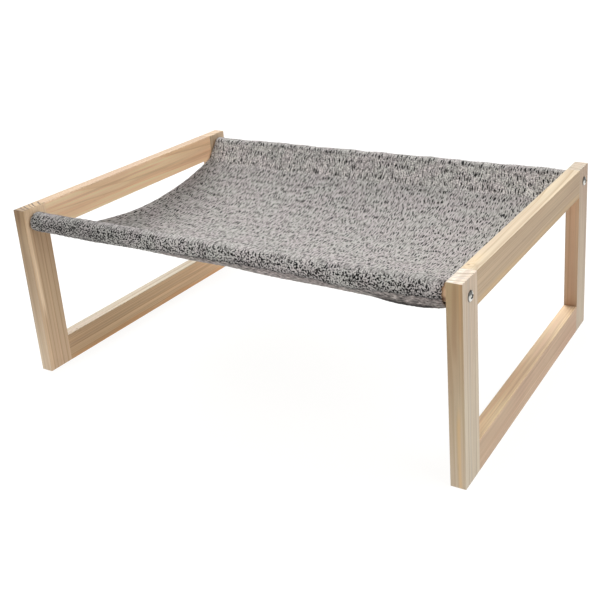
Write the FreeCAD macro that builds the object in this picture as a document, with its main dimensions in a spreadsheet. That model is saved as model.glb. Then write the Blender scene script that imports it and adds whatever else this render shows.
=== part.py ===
import FreeCAD, Part
import math
import os
import Sketcher

# Raised pet bed: two rectangular pine side frames joined by two round rods, with a
# sling of pile cloth sewn into a sleeve round each rod.
# Millimetres. X runs along the bed from left to right, Y from front to rear, Z up.
# The origin is at the middle of the footprint, on the floor.

V = FreeCAD.Vector
doc = FreeCAD.newDocument("pet_bed")

# ---------------------------------------------------------------- dimensions
DIMS = [
    ("bed_length", 700),        # outside faces of the side frames
    ("bed_depth", 480),         # front face of the front legs to rear face of the rear legs
    ("bed_height", 260),
    ("stock_thick", 20),        # planed pine, along X
    ("stock_wide", 42),         # planed pine, in the plane of a side frame
    ("edge_ease", 0.8),         # sanded edge
    ("rod_dia", 22),
    ("rod_drop", 22),           # rod axis below the top of the frame
    ("rod_end_ease", 1),
    ("screw_clear", 6.6),       # hole through the leg
    ("dowel_dia", 8),
    ("dowel_length", 40),
    ("dowel_fit", 0.1),         # hole diameter over pin diameter
    ("dowel_hole", 21),         # depth of each hole
    ("dowel_pitch", 22),        # between the two pins of a joint
    ("dowel_ease", 1),
    ("insert_dia", 10),
    ("insert_bore", 6.1),
    ("insert_length", 15),
    ("insert_fit", 0.1),
    ("insert_groove", 0.5),
    ("insert_groove_wide", 0.9),
    ("insert_groove_pitch", 2.4),
    ("insert_groove_first", 2.4),
    ("insert_groove_count", 5),
    ("screw_dia", 5.9),
    ("screw_length", 38),       # under the head
    ("head_dia", 13.4),
    ("head_high", 3.2),
    ("head_rim", 0.8),
    ("recess_wide", 7.6),
    ("recess_slot", 2),
    ("recess_deep", 2.2),
    ("tip_bore", 6.6),          # beyond the insert
    ("tip_bore_deep", 26),
    ("cloth_width", 652),       # along the rods
    ("cloth_thick", 3),
    ("sleeve_radius", 14),      # outside of the cloth round the rod
    ("channel_dia", 22.8),      # inside of the sleeve
    ("crease_drop", 10),        # where the belly leaves the sleeve, below the rod axis
    ("sag_edge", 49),           # top of the cloth below the rod axis, at the hems
    ("sag_inner", 57),          # 30 mm in from each hem
    ("sag_belly", 65),          # well inside
    ("sag_middle", 68),
    ("inner_step", 296),        # stations along X at which the sags hold
    ("belly_step", 190),
    ("seam_in", 24),            # sleeve seam inward of the rod axis
    ("tail_drop", 9),           # where the sleeve leaves the rod's outer side, below the axis
    ("tail_radius", 36),        # slack lower layer of the sleeve
]
sheet = doc.addObject("Spreadsheet::Sheet", "Dimensions")
for row, (alias, value) in enumerate(DIMS, start=1):
    sheet.set(f"A{row}", alias)
    sheet.set(f"B{row}", str(value))
    sheet.setAlias(f"B{row}", alias)
doc.recompute()
D = {alias: float(sheet.get(alias)) for alias, _ in DIMS}


def cell(text):
    """Turns a formula over the aliases into one over the sheet's cells."""
    out, word = "", ""
    for ch in text + " ":
        if ch.isalnum() or ch == "_":
            word += ch
        else:
            out += f"Dimensions.{word}" if word in D else word
            out += ch
            word = ""
    return out.strip()


def number(text):
    """The same formula as a plain number."""
    total = doc.Dimensions.evalExpression(cell(text)) if text else 0.0
    return float(total.Value) if hasattr(total, "Value") else float(total)


def plane(body, role):
    for feature in body.Origin.OriginFeatures:
        if feature.Role == role:
            return feature
    raise RuntimeError(role)


def new_body(name):
    body = doc.addObject("PartDesign::Body", name)
    body.Label = name
    return body


def new_sketch(body, name, role, offset=None):
    """A sketch on an origin plane of the body. offset is a formula along the plane's normal."""
    sk = body.newObject("Sketcher::SketchObject", name)
    sk.AttachmentSupport = [(plane(body, role), "")]
    sk.MapMode = "FlatFace"
    if offset:
        sk.setExpression("AttachmentOffset.Base.z", cell(offset))
    doc.recompute()
    return sk


def tie(sk, index, label, formula):
    """Names a constraint and drives it from the sheet."""
    sk.renameConstraint(index, label)
    sk.setExpression(f"Constraints.{label}", cell(formula))


def centred_rectangle(sk, wide, high):
    """A rectangle about the sketch's origin."""
    w, h = number(wide) / 2, number(high) / 2
    pts = [V(-w, -h, 0), V(w, -h, 0), V(w, h, 0), V(-w, h, 0)]
    for i in range(4):
        sk.addGeometry(Part.LineSegment(pts[i], pts[(i + 1) % 4]), False)
    for i in range(4):
        sk.addConstraint(Sketcher.Constraint("Coincident", i, 2, (i + 1) % 4, 1))
    for i, kind in enumerate(("Horizontal", "Vertical", "Horizontal", "Vertical")):
        sk.addConstraint(Sketcher.Constraint(kind, i))
    sk.addConstraint(Sketcher.Constraint("Symmetric", 0, 1, 2, 1, -1, 1))
    k = sk.addConstraint(Sketcher.Constraint("DistanceX", 0, 1, 0, 2, 2 * w))
    tie(sk, k, "wide", wide)
    k = sk.addConstraint(Sketcher.Constraint("DistanceY", 1, 1, 1, 2, 2 * h))
    tie(sk, k, "high", high)


def circle_at(sk, x, y, dia, label):
    """A circle at formulas x, y (which may be negative or zero) in the sketch."""
    cx, cy = number(x), number(y)
    g = sk.addGeometry(Part.Circle(V(cx, cy, 0), V(0, 0, 1), number(dia) / 2), False)
    for kind, axis_value, text in (("DistanceX", cx, x), ("DistanceY", cy, y)):
        if abs(axis_value) < 1e-9:
            axis = -2 if kind == "DistanceX" else -1
            sk.addConstraint(Sketcher.Constraint("PointOnObject", g, 3, axis))
        elif axis_value > 0:
            k = sk.addConstraint(Sketcher.Constraint(kind, -1, 1, g, 3, axis_value))
            tie(sk, k, label + kind, text)
        else:
            k = sk.addConstraint(Sketcher.Constraint(kind, g, 3, -1, 1, -axis_value))
            tie(sk, k, label + kind, f"-({text})")
    k = sk.addConstraint(Sketcher.Constraint("Diameter", g, number(dia)))
    tie(sk, k, label + "Dia", dia)
    return g


def pad(body, sk, length, midplane=True, flip=False):
    f = body.newObject("PartDesign::Pad", sk.Name + "_pad")
    f.Profile = sk
    f.setExpression("Length", cell(length))
    if midplane:
        f.Midplane = True
    f.Reversed = flip
    sk.Visibility = False
    doc.recompute()
    return f


def pocket(body, sk, length=None, flip=False, least=1.0):
    """Cuts the sketch out of the body, through all of it both ways or to a depth, and makes
    sure that it took material away."""
    before = body.Shape.Volume
    f = body.newObject("PartDesign::Pocket", sk.Name + "_cut")
    f.Profile = sk
    if length is None:
        f.Type = "ThroughAll"
        f.Midplane = True
    else:
        f.setExpression("Length", cell(length))
    f.Reversed = flip
    doc.recompute()
    if before - body.Shape.Volume < least:
        raise RuntimeError(f"{f.Name} cut nothing: {before} {body.Shape.Volume}")
    return f


def ease(body, formula, test, name):
    """Rounds the tip's edges that test accepts."""
    tip = body.Tip
    names = [f"Edge{i + 1}" for i, e in enumerate(tip.Shape.Edges) if test(e)]
    f = body.newObject("PartDesign::Fillet", name)
    f.Base = (tip, names)
    f.setExpression("Radius", cell(formula))
    doc.recompute()
    return f


def place(obj, x, y, z, turn=0.0, axis=(0, 0, 1), roll=0.0):
    """Puts a sub-part at formulas x, y, z, rolled about its own X axis and then turned about
    an axis by fixed angles."""
    obj.Placement = FreeCAD.Placement(
        V(number(x), number(y), number(z)),
        FreeCAD.Rotation(V(*axis), turn) * FreeCAD.Rotation(V(1, 0, 0), roll),
    )
    for k, text in (("x", x), ("y", y), ("z", z)):
        if text:
            obj.setExpression(f"Placement.Base.{k}", cell(text))


parts = []  # the sub-parts that are written


# ---------------------------------------------------------------- legs
def straight(e):
    return isinstance(e.Curve, (Part.Line, Part.LineSegment))


def make_leg(name, x, y, turn):
    """A leg standing on its own origin, its rail side facing its own +Y."""
    body = new_body(name)
    sk = new_sketch(body, name + "_plan", "XY_Plane")
    centred_rectangle(sk, "stock_thick", "stock_wide")
    pad(body, sk, "bed_height", midplane=False)
    # the edges are broken, apart from those of the rail side, where the joint is sanded flush
    deep = D["stock_wide"] / 2
    ease(
        body,
        "edge_ease",
        lambda e: straight(e) and min(v.Point.y for v in e.Vertexes) < deep - 0.01,
        name + "_ease",
    )
    # screw hole, along X
    sk = new_sketch(body, name + "_screw", "YZ_Plane")
    circle_at(sk, "0", "bed_height - rod_drop", "screw_clear", "s")
    pocket(body, sk)
    # dowel holes for the top and the bottom rail, from the rail side
    sk = new_sketch(body, name + "_dowels", "XZ_Plane", "-stock_wide / 2")
    for k, (base, sign) in enumerate(
        (("stock_wide / 2", "-"), ("stock_wide / 2", "+"),
         ("bed_height - stock_wide / 2", "-"), ("bed_height - stock_wide / 2", "+"))
    ):
        circle_at(sk, "0", f"{base} {sign} dowel_pitch / 2", "dowel_dia + dowel_fit", f"d{k}")
    depth = number("dowel_hole")
    before = body.Shape.Volume
    f = pocket(body, sk, "dowel_hole", flip=True)
    want = 4 * math.pi * (number("dowel_dia + dowel_fit") / 2) ** 2 * depth
    took = before - body.Shape.Volume
    if abs(took - want) > 0.25 * want:
        raise RuntimeError(f"{name} dowel holes took {took:.0f} of {want:.0f}")
    place(body, x, y, "", turn)
    parts.append(body)
    return body


LEFT = "-(bed_length / 2 - stock_thick / 2)"
RIGHT = "bed_length / 2 - stock_thick / 2"
FRONT = "-(bed_depth / 2 - stock_wide / 2)"
REAR = "bed_depth / 2 - stock_wide / 2"
for side, x in (("left", LEFT), ("right", RIGHT)):
    make_leg(f"{side}_front_leg", x, FRONT, 0)
    make_leg(f"{side}_rear_leg", x, REAR, 180)


# ---------------------------------------------------------------- rails
def make_rail(name, x, z):
    """A rail along Y about its own middle, with two dowel holes in each end."""
    body = new_body(name)
    sk = new_sketch(body, name + "_section", "XZ_Plane")
    centred_rectangle(sk, "stock_thick", "stock_wide")
    pad(body, sk, "bed_depth - 2 * stock_wide")
    ease(
        body,
        "edge_ease",
        lambda e: straight(e) and e.Length > 100,
        name + "_ease",
    )
    for end, sign, flip in (("front", "", False), ("rear", "-", True)):
        sk = new_sketch(
            body, f"{name}_{end}_dowels", "XZ_Plane", f"{sign}(bed_depth / 2 - stock_wide)"
        )
        for k, s in enumerate(("-", "")):
            circle_at(sk, "0", f"{s}dowel_pitch / 2", "dowel_dia + dowel_fit", f"d{k}")
        before = body.Shape.Volume
        pocket(body, sk, "dowel_hole", flip=flip)
        want = 2 * math.pi * (number("dowel_dia + dowel_fit") / 2) ** 2 * D["dowel_hole"]
        took = before - body.Shape.Volume
        if abs(took - want) > 0.05 * want:
            raise RuntimeError(f"{name} {end} dowel holes took {took:.0f} of {want:.0f}")
    place(body, x, "", z)
    parts.append(body)
    return body


for side, x in (("left", LEFT), ("right", RIGHT)):
    make_rail(f"{side}_top_rail", x, "bed_height - stock_wide / 2")
    make_rail(f"{side}_bottom_rail", x, "stock_wide / 2")


# ---------------------------------------------------------------- dowel pins
def make_pins(name, x, y, z):
    """The two pins across one joint of rail and leg, along Y."""
    pins = []
    for k, sign in enumerate(("-", "+")):
        pin = doc.addObject("Part::Cylinder", f"{name}_pin{k}")
        pin.setExpression("Radius", cell("dowel_dia / 2"))
        pin.setExpression("Height", cell("dowel_length"))
        pin.Placement = FreeCAD.Placement(
            V(number(x), number(y) + D["dowel_length"] / 2, 0), FreeCAD.Rotation(V(1, 0, 0), 90)
        )
        pin.setExpression("Placement.Base.x", cell(x))
        pin.setExpression("Placement.Base.y", cell(f"{y} + dowel_length / 2"))
        pin.setExpression("Placement.Base.z", cell(f"{z} {sign} dowel_pitch / 2"))
        doc.recompute()
        eased = doc.addObject("Part::Chamfer", f"{name}_pin{k}_eased")
        eased.Base = pin
        rims = [i + 1 for i, e in enumerate(pin.Shape.Edges) if isinstance(e.Curve, Part.Circle)]
        eased.Edges = [(i, D["dowel_ease"], D["dowel_ease"]) for i in rims]
        pins.append(eased)
    group = doc.addObject("Part::Compound", name)
    group.Label = name
    group.Links = pins
    doc.recompute()
    parts.append(group)
    return group


JOINT_Y = "(bed_depth / 2 - stock_wide)"
for side, x in (("left", LEFT), ("right", RIGHT)):
    for end, y in (("front", "-" + JOINT_Y), ("rear", JOINT_Y)):
        make_pins(f"{side}_{end}_top_dowels", x, y, "bed_height - stock_wide / 2")
        make_pins(f"{side}_{end}_bottom_dowels", x, y, "stock_wide / 2")


# ---------------------------------------------------------------- rods
ROD_HALF = "(bed_length / 2 - stock_thick)"
ROD_Z = "(bed_height - rod_drop)"


def make_rod(name, y):
    """A round rod along X, bored at each end for its insert and the screw's tip."""
    body = new_body(name)
    sk = new_sketch(body, name + "_section", "YZ_Plane")
    circle_at(sk, "0", "0", "rod_dia", "r")
    pad(body, sk, f"2 * {ROD_HALF}")
    ease(body, "rod_end_ease", lambda e: isinstance(e.Curve, Part.Circle), name + "_ease")
    for end, sign, flip in (("right", "", False), ("left", "-", True)):
        for what, dia, deep in (
            ("insert", "insert_dia + insert_fit", "insert_length + 0.5"),
            ("tip", "tip_bore", "tip_bore_deep"),
        ):
            sk = new_sketch(body, f"{name}_{end}_{what}", "YZ_Plane", f"{sign}{ROD_HALF}")
            circle_at(sk, "0", "0", dia, "c")
            pocket(body, sk, deep, flip=flip, least=200.0)
    place(body, "", y, ROD_Z)
    parts.append(body)
    return body


make_rod("front_rod", FRONT)
make_rod("rear_rod", REAR)


# ---------------------------------------------------------------- inserts and screws
def make_insert(name, x, y, turn):
    """A threaded insert with its mouth at its own origin, reaching along its own -X."""
    body = new_body(name)
    sk = new_sketch(body, name + "_section", "YZ_Plane")
    circle_at(sk, "0", "0", "insert_dia", "o")
    circle_at(sk, "0", "0", "insert_bore", "b")
    pad(body, sk, "insert_length", midplane=False, flip=True)
    # grip rings round the outside
    ring = new_sketch(body, name + "_ring", "XZ_Plane")
    x0 = D["insert_groove_first"]
    w, r, g = D["insert_groove_wide"], D["insert_dia"] / 2, D["insert_groove"]
    pts = [V(-x0 - w, r + 1, 0), V(-x0 - w / 2, r - g, 0), V(-x0, r + 1, 0)]
    for i in range(3):
        ring.addGeometry(Part.LineSegment(pts[i], pts[(i + 1) % 3]), False)
    for i in range(3):
        ring.addConstraint(Sketcher.Constraint("Coincident", i, 2, (i + 1) % 3, 1))
    ring.addConstraint(Sketcher.Constraint("Horizontal", 2))
    k = ring.addConstraint(Sketcher.Constraint("DistanceX", 2, 2, 2, 1, w))
    tie(ring, k, "wide", "insert_groove_wide")
    k = ring.addConstraint(Sketcher.Constraint("DistanceX", 2, 1, -1, 1, x0))
    tie(ring, k, "first", "insert_groove_first")
    k = ring.addConstraint(Sketcher.Constraint("DistanceX", 1, 1, -1, 1, x0 + w / 2))
    tie(ring, k, "point", "insert_groove_first + insert_groove_wide / 2")
    k = ring.addConstraint(Sketcher.Constraint("DistanceY", -1, 1, 1, 1, r - g))
    tie(ring, k, "bottom", "insert_dia / 2 - insert_groove")
    k = ring.addConstraint(Sketcher.Constraint("DistanceY", -1, 1, 2, 1, r + 1))
    tie(ring, k, "top", "insert_dia / 2 + 1")
    doc.recompute()
    before = body.Shape.Volume
    cut = body.newObject("PartDesign::Groove", name + "_groove")
    cut.Profile = ring
    cut.ReferenceAxis = (ring, ["H_Axis"])
    cut.Angle = 360
    doc.recompute()
    pattern = body.newObject("PartDesign::LinearPattern", name + "_grooves")
    pattern.Originals = [cut]
    pattern.Direction = (plane(body, "X_Axis"), [""])
    pattern.Reversed = True
    pattern.Occurrences = int(D["insert_groove_count"])
    pattern.setExpression("Occurrences", cell("insert_groove_count"))
    pattern.setExpression("Length", cell("insert_groove_pitch * (insert_groove_count - 1)"))
    body.Tip = pattern
    doc.recompute()
    if before - body.Shape.Volume < 10.0:
        raise RuntimeError(f"{name} grooves took {before - body.Shape.Volume}")
    place(body, x, y, ROD_Z, turn)
    parts.append(body)
    return body


def make_screw(name, x, y, turn, roll):
    """A truss head machine screw. Its head seats on its own origin plane and bulges to its
    own +X; the shank reaches along -X. roll is how far its recess was left turned."""
    body = new_body(name)
    sk = new_sketch(body, name + "_half", "XZ_Plane")
    hr, hh, rim = D["head_dia"] / 2, D["head_high"], D["head_rim"]
    sr, sl = D["screw_dia"] / 2, D["screw_length"]
    dome = (hr * hr + (hh - rim) ** 2) / (2 * (hh - rim))
    cx = hh - dome
    a0 = math.atan2(hr, rim - cx)
    arc = Part.ArcOfCircle(Part.Circle(V(cx, 0, 0), V(0, 0, 1), dome), 0.0, a0)
    pts = [V(-sl, 0, 0), V(hh, 0, 0), V(rim, hr, 0), V(0, hr, 0), V(0, sr, 0), V(-sl + 1, sr, 0), V(-sl, sr - 1, 0)]
    sk.addGeometry(Part.LineSegment(pts[0], pts[1]), False)   # 0 along the axis
    sk.addGeometry(arc, False)                                 # 1 dome, from apex to rim
    sk.addGeometry(Part.LineSegment(pts[2], pts[3]), False)   # 2 rim
    sk.addGeometry(Part.LineSegment(pts[3], pts[4]), False)   # 3 seat
    sk.addGeometry(Part.LineSegment(pts[4], pts[5]), False)   # 4 shank
    sk.addGeometry(Part.LineSegment(pts[5], pts[6]), False)   # 5 point chamfer
    sk.addGeometry(Part.LineSegment(pts[6], pts[0]), False)   # 6 end
    C = Sketcher.Constraint
    sk.addConstraint(C("Coincident", 0, 2, 1, 1))
    sk.addConstraint(C("Coincident", 1, 2, 2, 1))
    for i in (2, 3, 4, 5):
        sk.addConstraint(C("Coincident", i, 2, i + 1, 1))
    sk.addConstraint(C("Coincident", 6, 2, 0, 1))
    sk.addConstraint(C("PointOnObject", 0, 1, -1))
    sk.addConstraint(C("PointOnObject", 0, 2, -1))
    sk.addConstraint(C("PointOnObject", 1, 3, -1))
    sk.addConstraint(C("Horizontal", 2))
    sk.addConstraint(C("Vertical", 3))
    sk.addConstraint(C("Horizontal", 4))
    sk.addConstraint(C("Vertical", 6))
    sk.addConstraint(C("PointOnObject", 3, 1, -2))
    k = sk.addConstraint(C("DistanceX", -1, 1, 0, 2, hh)); tie(sk, k, "high", "head_high")
    k = sk.addConstraint(C("DistanceX", 3, 1, 2, 1, rim)); tie(sk, k, "rim", "head_rim")
    k = sk.addConstraint(C("DistanceY", -1, 1, 3, 1, hr)); tie(sk, k, "head", "head_dia / 2")
    k = sk.addConstraint(C("DistanceY", -1, 1, 3, 2, sr)); tie(sk, k, "shank", "screw_dia / 2")
    k = sk.addConstraint(C("DistanceX", 0, 1, -1, 1, sl)); tie(sk, k, "length", "screw_length")
    k = sk.addConstraint(C("DistanceX", 5, 2, 5, 1, 1.0))
    k = sk.addConstraint(C("DistanceY", 5, 2, 5, 1, 1.0))
    doc.recompute()
    rev = body.newObject("PartDesign::Revolution", name + "_turned")
    rev.Profile = sk
    rev.ReferenceAxis = (sk, ["H_Axis"])
    rev.Angle = 360
    doc.recompute()
    # cross recess, sunk from just proud of the dome
    sk = new_sketch(body, name + "_cross", "YZ_Plane", "head_high + 0.2")
    w, s = D["recess_wide"] / 2, D["recess_slot"] / 2
    ring = [(w, -s), (w, s), (s, s), (s, w), (-s, w), (-s, s), (-w, s), (-w, -s), (-s, -s), (-s, -w), (s, -w), (s, -s)]
    for i in range(12):
        a, b = ring[i], ring[(i + 1) % 12]
        sk.addGeometry(Part.LineSegment(V(a[0], a[1], 0), V(b[0], b[1], 0)), False)
    for i in range(12):
        sk.addConstraint(C("Coincident", i, 2, (i + 1) % 12, 1))
        sk.addConstraint(C("Vertical" if i % 2 == 0 else "Horizontal", i))
    # every side of the cross has its own distance from the axis
    reach, slot = "recess_wide / 2", "recess_slot / 2"
    for i, (text, sign) in enumerate(
        ((reach, 1), (slot, 1), (slot, 1), (reach, 1), (slot, -1), (slot, 1),
         (reach, -1), (slot, -1), (slot, -1), (reach, -1), (slot, 1), (slot, -1))
    ):
        kind = "DistanceX" if i % 2 == 0 else "DistanceY"
        value = number(text)
        ends = (-1, 1, i, 1) if sign > 0 else (i, 1, -1, 1)
        k = sk.addConstraint(C(kind, *ends, value))
        tie(sk, k, f"side{i}", text)
    if sk.solve() != 0:
        raise RuntimeError(f"{name}: the recess isn't solved")
    doc.recompute()
    pocket(body, sk, "recess_deep + 0.2", least=20.0)
    place(body, x, y, ROD_Z, turn, roll=roll)
    parts.append(body)
    return body


for end, y, right_roll, left_roll in (("front", FRONT, 17, 46), ("rear", REAR, 28, 64)):
    make_insert(f"{end}_right_insert", ROD_HALF, y, 0)
    make_insert(f"{end}_left_insert", "-" + ROD_HALF, y, 180)
    make_screw(f"{end}_right_screw", "bed_length / 2", y, 0, right_roll)
    make_screw(f"{end}_left_screw", "-bed_length / 2", y, 180, left_roll)


# ---------------------------------------------------------------- sling
# The cloth passes over both rods and is sewn back to its own underside close to the rod, so
# each rod lies in a close sleeve. The cloth falls down the sleeve's inner side to a crease at
# the seam, and from crease to crease it sags in a near-circular arc. The hems at the two side
# edges are tauter than the cloth between them.
HALF_SPAN = "(bed_depth / 2 - stock_wide / 2)"
CREASE_IN = "sqrt(sleeve_radius * sleeve_radius - crease_drop * crease_drop)"
HALF_BELLY = f"({HALF_SPAN} - {CREASE_IN})"


def sag_radius(sag):
    deep = f"({sag} - crease_drop)"
    return f"(({HALF_BELLY} * {HALF_BELLY} + {deep} * {deep}) / (2 * {deep}))"


def sling_section(body, name, x, sag):
    """The cloth's cross-section at station x. In this plane the first axis is Y, the second Z."""
    sk = new_sketch(body, name, "YZ_Plane", x)
    a, zr, ro = number(HALF_SPAN), number(ROD_Z), D["sleeve_radius"]
    s, t = D[sag], D["cloth_thick"]
    R = number(sag_radius(sag))
    zc = zr - s + R
    Rb = R + t
    drop = D["crease_drop"]
    T = (number(HALF_BELLY), zr - drop)            # crease between sleeve and belly
    ys = a - D["seam_in"]
    S = (ys, zc - math.sqrt(Rb * Rb - ys * ys))    # seam on the underside
    zq = zr - D["tail_drop"]
    Q = (a + math.sqrt(ro * ro - D["tail_drop"] ** 2), zq)  # lower layer leaves the rod
    rt = D["tail_radius"]
    mid = ((S[0] + Q[0]) / 2, (S[1] + Q[1]) / 2)
    chord = math.hypot(Q[0] - S[0], Q[1] - S[1])
    nx, ny = -(Q[1] - S[1]) / chord, (Q[0] - S[0]) / chord
    hgt = math.sqrt(rt * rt - chord * chord / 4)
    cL = (mid[0] + nx * hgt, mid[1] + ny * hgt)     # centre above, so the layer bulges down

    def arc(c, r, p, q):
        """Anticlockwise arc from p to q."""
        a0 = math.atan2(p[1] - c[1], p[0] - c[0])
        a1 = math.atan2(q[1] - c[1], q[0] - c[0])
        while a1 <= a0:
            a1 += 2 * math.pi
        return Part.ArcOfCircle(Part.Circle(V(c[0], c[1], 0), V(0, 0, 1), r), a0, a1)

    m = lambda p: (-p[0], p[1])
    sk.addGeometry(arc((0, zc), R, m(T), T), False)          # 0 top of the cloth
    sk.addGeometry(arc((a, zr), ro, Q, T), False)            # 1 rear sleeve, from Q up and over to T
    sk.addGeometry(arc(cL, rt, S, Q), False)                 # 2 rear lower layer, S to Q
    sk.addGeometry(arc((0, zc), Rb, m(S), S), False)         # 3 underside
    sk.addGeometry(arc(m(cL), rt, m(Q), m(S)), False)        # 4 front lower layer, Q' to S'
    sk.addGeometry(arc((-a, zr), ro, m(T), m(Q)), False)     # 5 front sleeve, T' over to Q'
    C = Sketcher.Constraint
    sk.addConstraint(C("Coincident", 0, 2, 1, 2))
    sk.addConstraint(C("Coincident", 1, 1, 2, 2))
    sk.addConstraint(C("Coincident", 2, 1, 3, 2))
    sk.addConstraint(C("Coincident", 3, 1, 4, 2))
    sk.addConstraint(C("Coincident", 4, 1, 5, 2))
    sk.addConstraint(C("Coincident", 5, 1, 0, 1))
    sk.addConstraint(C("Coincident", 0, 3, 3, 3))
    # sleeve centres on the rod axes
    k = sk.addConstraint(C("DistanceX", -1, 1, 1, 3, a)); tie(sk, k, "rear_y", HALF_SPAN)
    k = sk.addConstraint(C("DistanceY", -1, 1, 1, 3, zr)); tie(sk, k, "rear_z", ROD_Z)
    k = sk.addConstraint(C("DistanceX", 5, 3, -1, 1, a)); tie(sk, k, "front_y", HALF_SPAN)
    k = sk.addConstraint(C("DistanceY", -1, 1, 5, 3, zr)); tie(sk, k, "front_z", ROD_Z)
    k = sk.addConstraint(C("Radius", 1, ro)); tie(sk, k, "rear_r", "sleeve_radius")
    k = sk.addConstraint(C("Radius", 5, ro)); tie(sk, k, "front_r", "sleeve_radius")
    k = sk.addConstraint(C("Radius", 0, R)); tie(sk, k, "sag_r", sag_radius(sag))
    k = sk.addConstraint(C("Radius", 3, Rb)); tie(sk, k, "under_r", sag_radius(sag) + " + cloth_thick")
    k = sk.addConstraint(C("Radius", 2, rt)); tie(sk, k, "rear_tail", "tail_radius")
    k = sk.addConstraint(C("Radius", 4, rt)); tie(sk, k, "front_tail", "tail_radius")
    k = sk.addConstraint(C("DistanceY", -1, 1, 1, 2, zr - drop)); tie(sk, k, "rear_crease", f"{ROD_Z} - crease_drop")
    k = sk.addConstraint(C("DistanceY", -1, 1, 5, 1, zr - drop)); tie(sk, k, "front_crease", f"{ROD_Z} - crease_drop")
    k = sk.addConstraint(C("DistanceX", -1, 1, 3, 2, ys)); tie(sk, k, "rear_seam", f"{HALF_SPAN} - seam_in")
    k = sk.addConstraint(C("DistanceX", 3, 1, -1, 1, ys)); tie(sk, k, "front_seam", f"{HALF_SPAN} - seam_in")
    k = sk.addConstraint(C("DistanceY", -1, 1, 1, 1, zq)); tie(sk, k, "rear_leave", f"{ROD_Z} - tail_drop")
    k = sk.addConstraint(C("DistanceY", -1, 1, 5, 2, zq)); tie(sk, k, "front_leave", f"{ROD_Z} - tail_drop")
    state = sk.solve()
    doc.recompute()
    if state != 0 or not sk.Shape.isValid() or len(sk.Shape.Edges) != 6:
        raise RuntimeError(f"{name}: solver {state}")
    return sk


def make_sling():
    body = new_body("sling_cloth")
    stations = [
        ("-cloth_width / 2", "sag_edge"),
        ("-inner_step", "sag_inner"),
        ("-belly_step", "sag_belly"),
        ("", "sag_middle"),
        ("belly_step", "sag_belly"),
        ("inner_step", "sag_inner"),
        ("cloth_width / 2", "sag_edge"),
    ]
    sections = [
        sling_section(body, f"sling_section_{i}", x, sag) for i, (x, sag) in enumerate(stations)
    ]
    loft = body.newObject("PartDesign::AdditiveLoft", "sling_loft")
    loft.Profile = sections[0]
    loft.Sections = sections[1:]
    loft.Ruled = False
    doc.recompute()
    for end, y in (("front", "-" + HALF_SPAN), ("rear", HALF_SPAN)):
        sk = new_sketch(body, f"sling_{end}_channel", "YZ_Plane")
        circle_at(sk, y, ROD_Z, "channel_dia", "c")
        before = body.Shape.Volume
        pocket(body, sk, least=0.9 * math.pi / 4 * D["channel_dia"] ** 2 * D["cloth_width"])
    parts.append(body)
    return body


make_sling()

# ---------------------------------------------------------------- checks and files
doc.recompute()
for obj in doc.Objects:
    bad = [s for s in obj.State if "Invalid" in s or "Error" in s]
    if bad:
        raise RuntimeError(f"{obj.Name}: {bad}")
seen = set()
for obj in parts:
    shape = obj.Shape
    if shape.isNull() or not shape.isValid() or shape.Volume <= 0:
        raise RuntimeError(f"{obj.Label}: shape isn't valid")
    want = 2 if obj.Label.endswith("_dowels") else 1
    if len(shape.Solids) != want:
        raise RuntimeError(f"{obj.Label}: {len(shape.Solids)} solids")
    if obj.Label in seen:
        raise RuntimeError(f"{obj.Label} twice")
    seen.add(obj.Label)

os.makedirs("parts", exist_ok=True)
for obj in parts:
    obj.Shape.exportStep(f"parts/{obj.Label}.step")
    b = obj.Shape.BoundBox
    print(
        f"{obj.Label:28s} {obj.Shape.Volume:12.1f} mm3  "
        f"x {b.XMin:8.2f} {b.XMax:8.2f}  y {b.YMin:8.2f} {b.YMax:8.2f}  z {b.ZMin:8.2f} {b.ZMax:8.2f}"
    )
print(len(parts), "nodes")
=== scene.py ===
import math

import bpy
import numpy as np
from mathutils import Matrix, Vector


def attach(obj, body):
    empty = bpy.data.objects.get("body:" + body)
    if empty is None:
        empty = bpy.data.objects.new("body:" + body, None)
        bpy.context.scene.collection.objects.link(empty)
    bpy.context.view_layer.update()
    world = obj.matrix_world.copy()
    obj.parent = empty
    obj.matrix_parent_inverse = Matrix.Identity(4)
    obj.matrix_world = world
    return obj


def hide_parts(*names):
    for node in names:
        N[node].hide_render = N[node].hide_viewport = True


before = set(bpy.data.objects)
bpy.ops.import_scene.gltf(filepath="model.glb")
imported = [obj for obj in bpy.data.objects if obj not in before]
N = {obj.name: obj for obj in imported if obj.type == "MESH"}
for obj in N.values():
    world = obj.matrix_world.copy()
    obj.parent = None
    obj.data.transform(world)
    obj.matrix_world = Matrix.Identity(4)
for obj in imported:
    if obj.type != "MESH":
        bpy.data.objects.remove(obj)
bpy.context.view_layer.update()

rng = np.random.default_rng(7)


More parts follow.
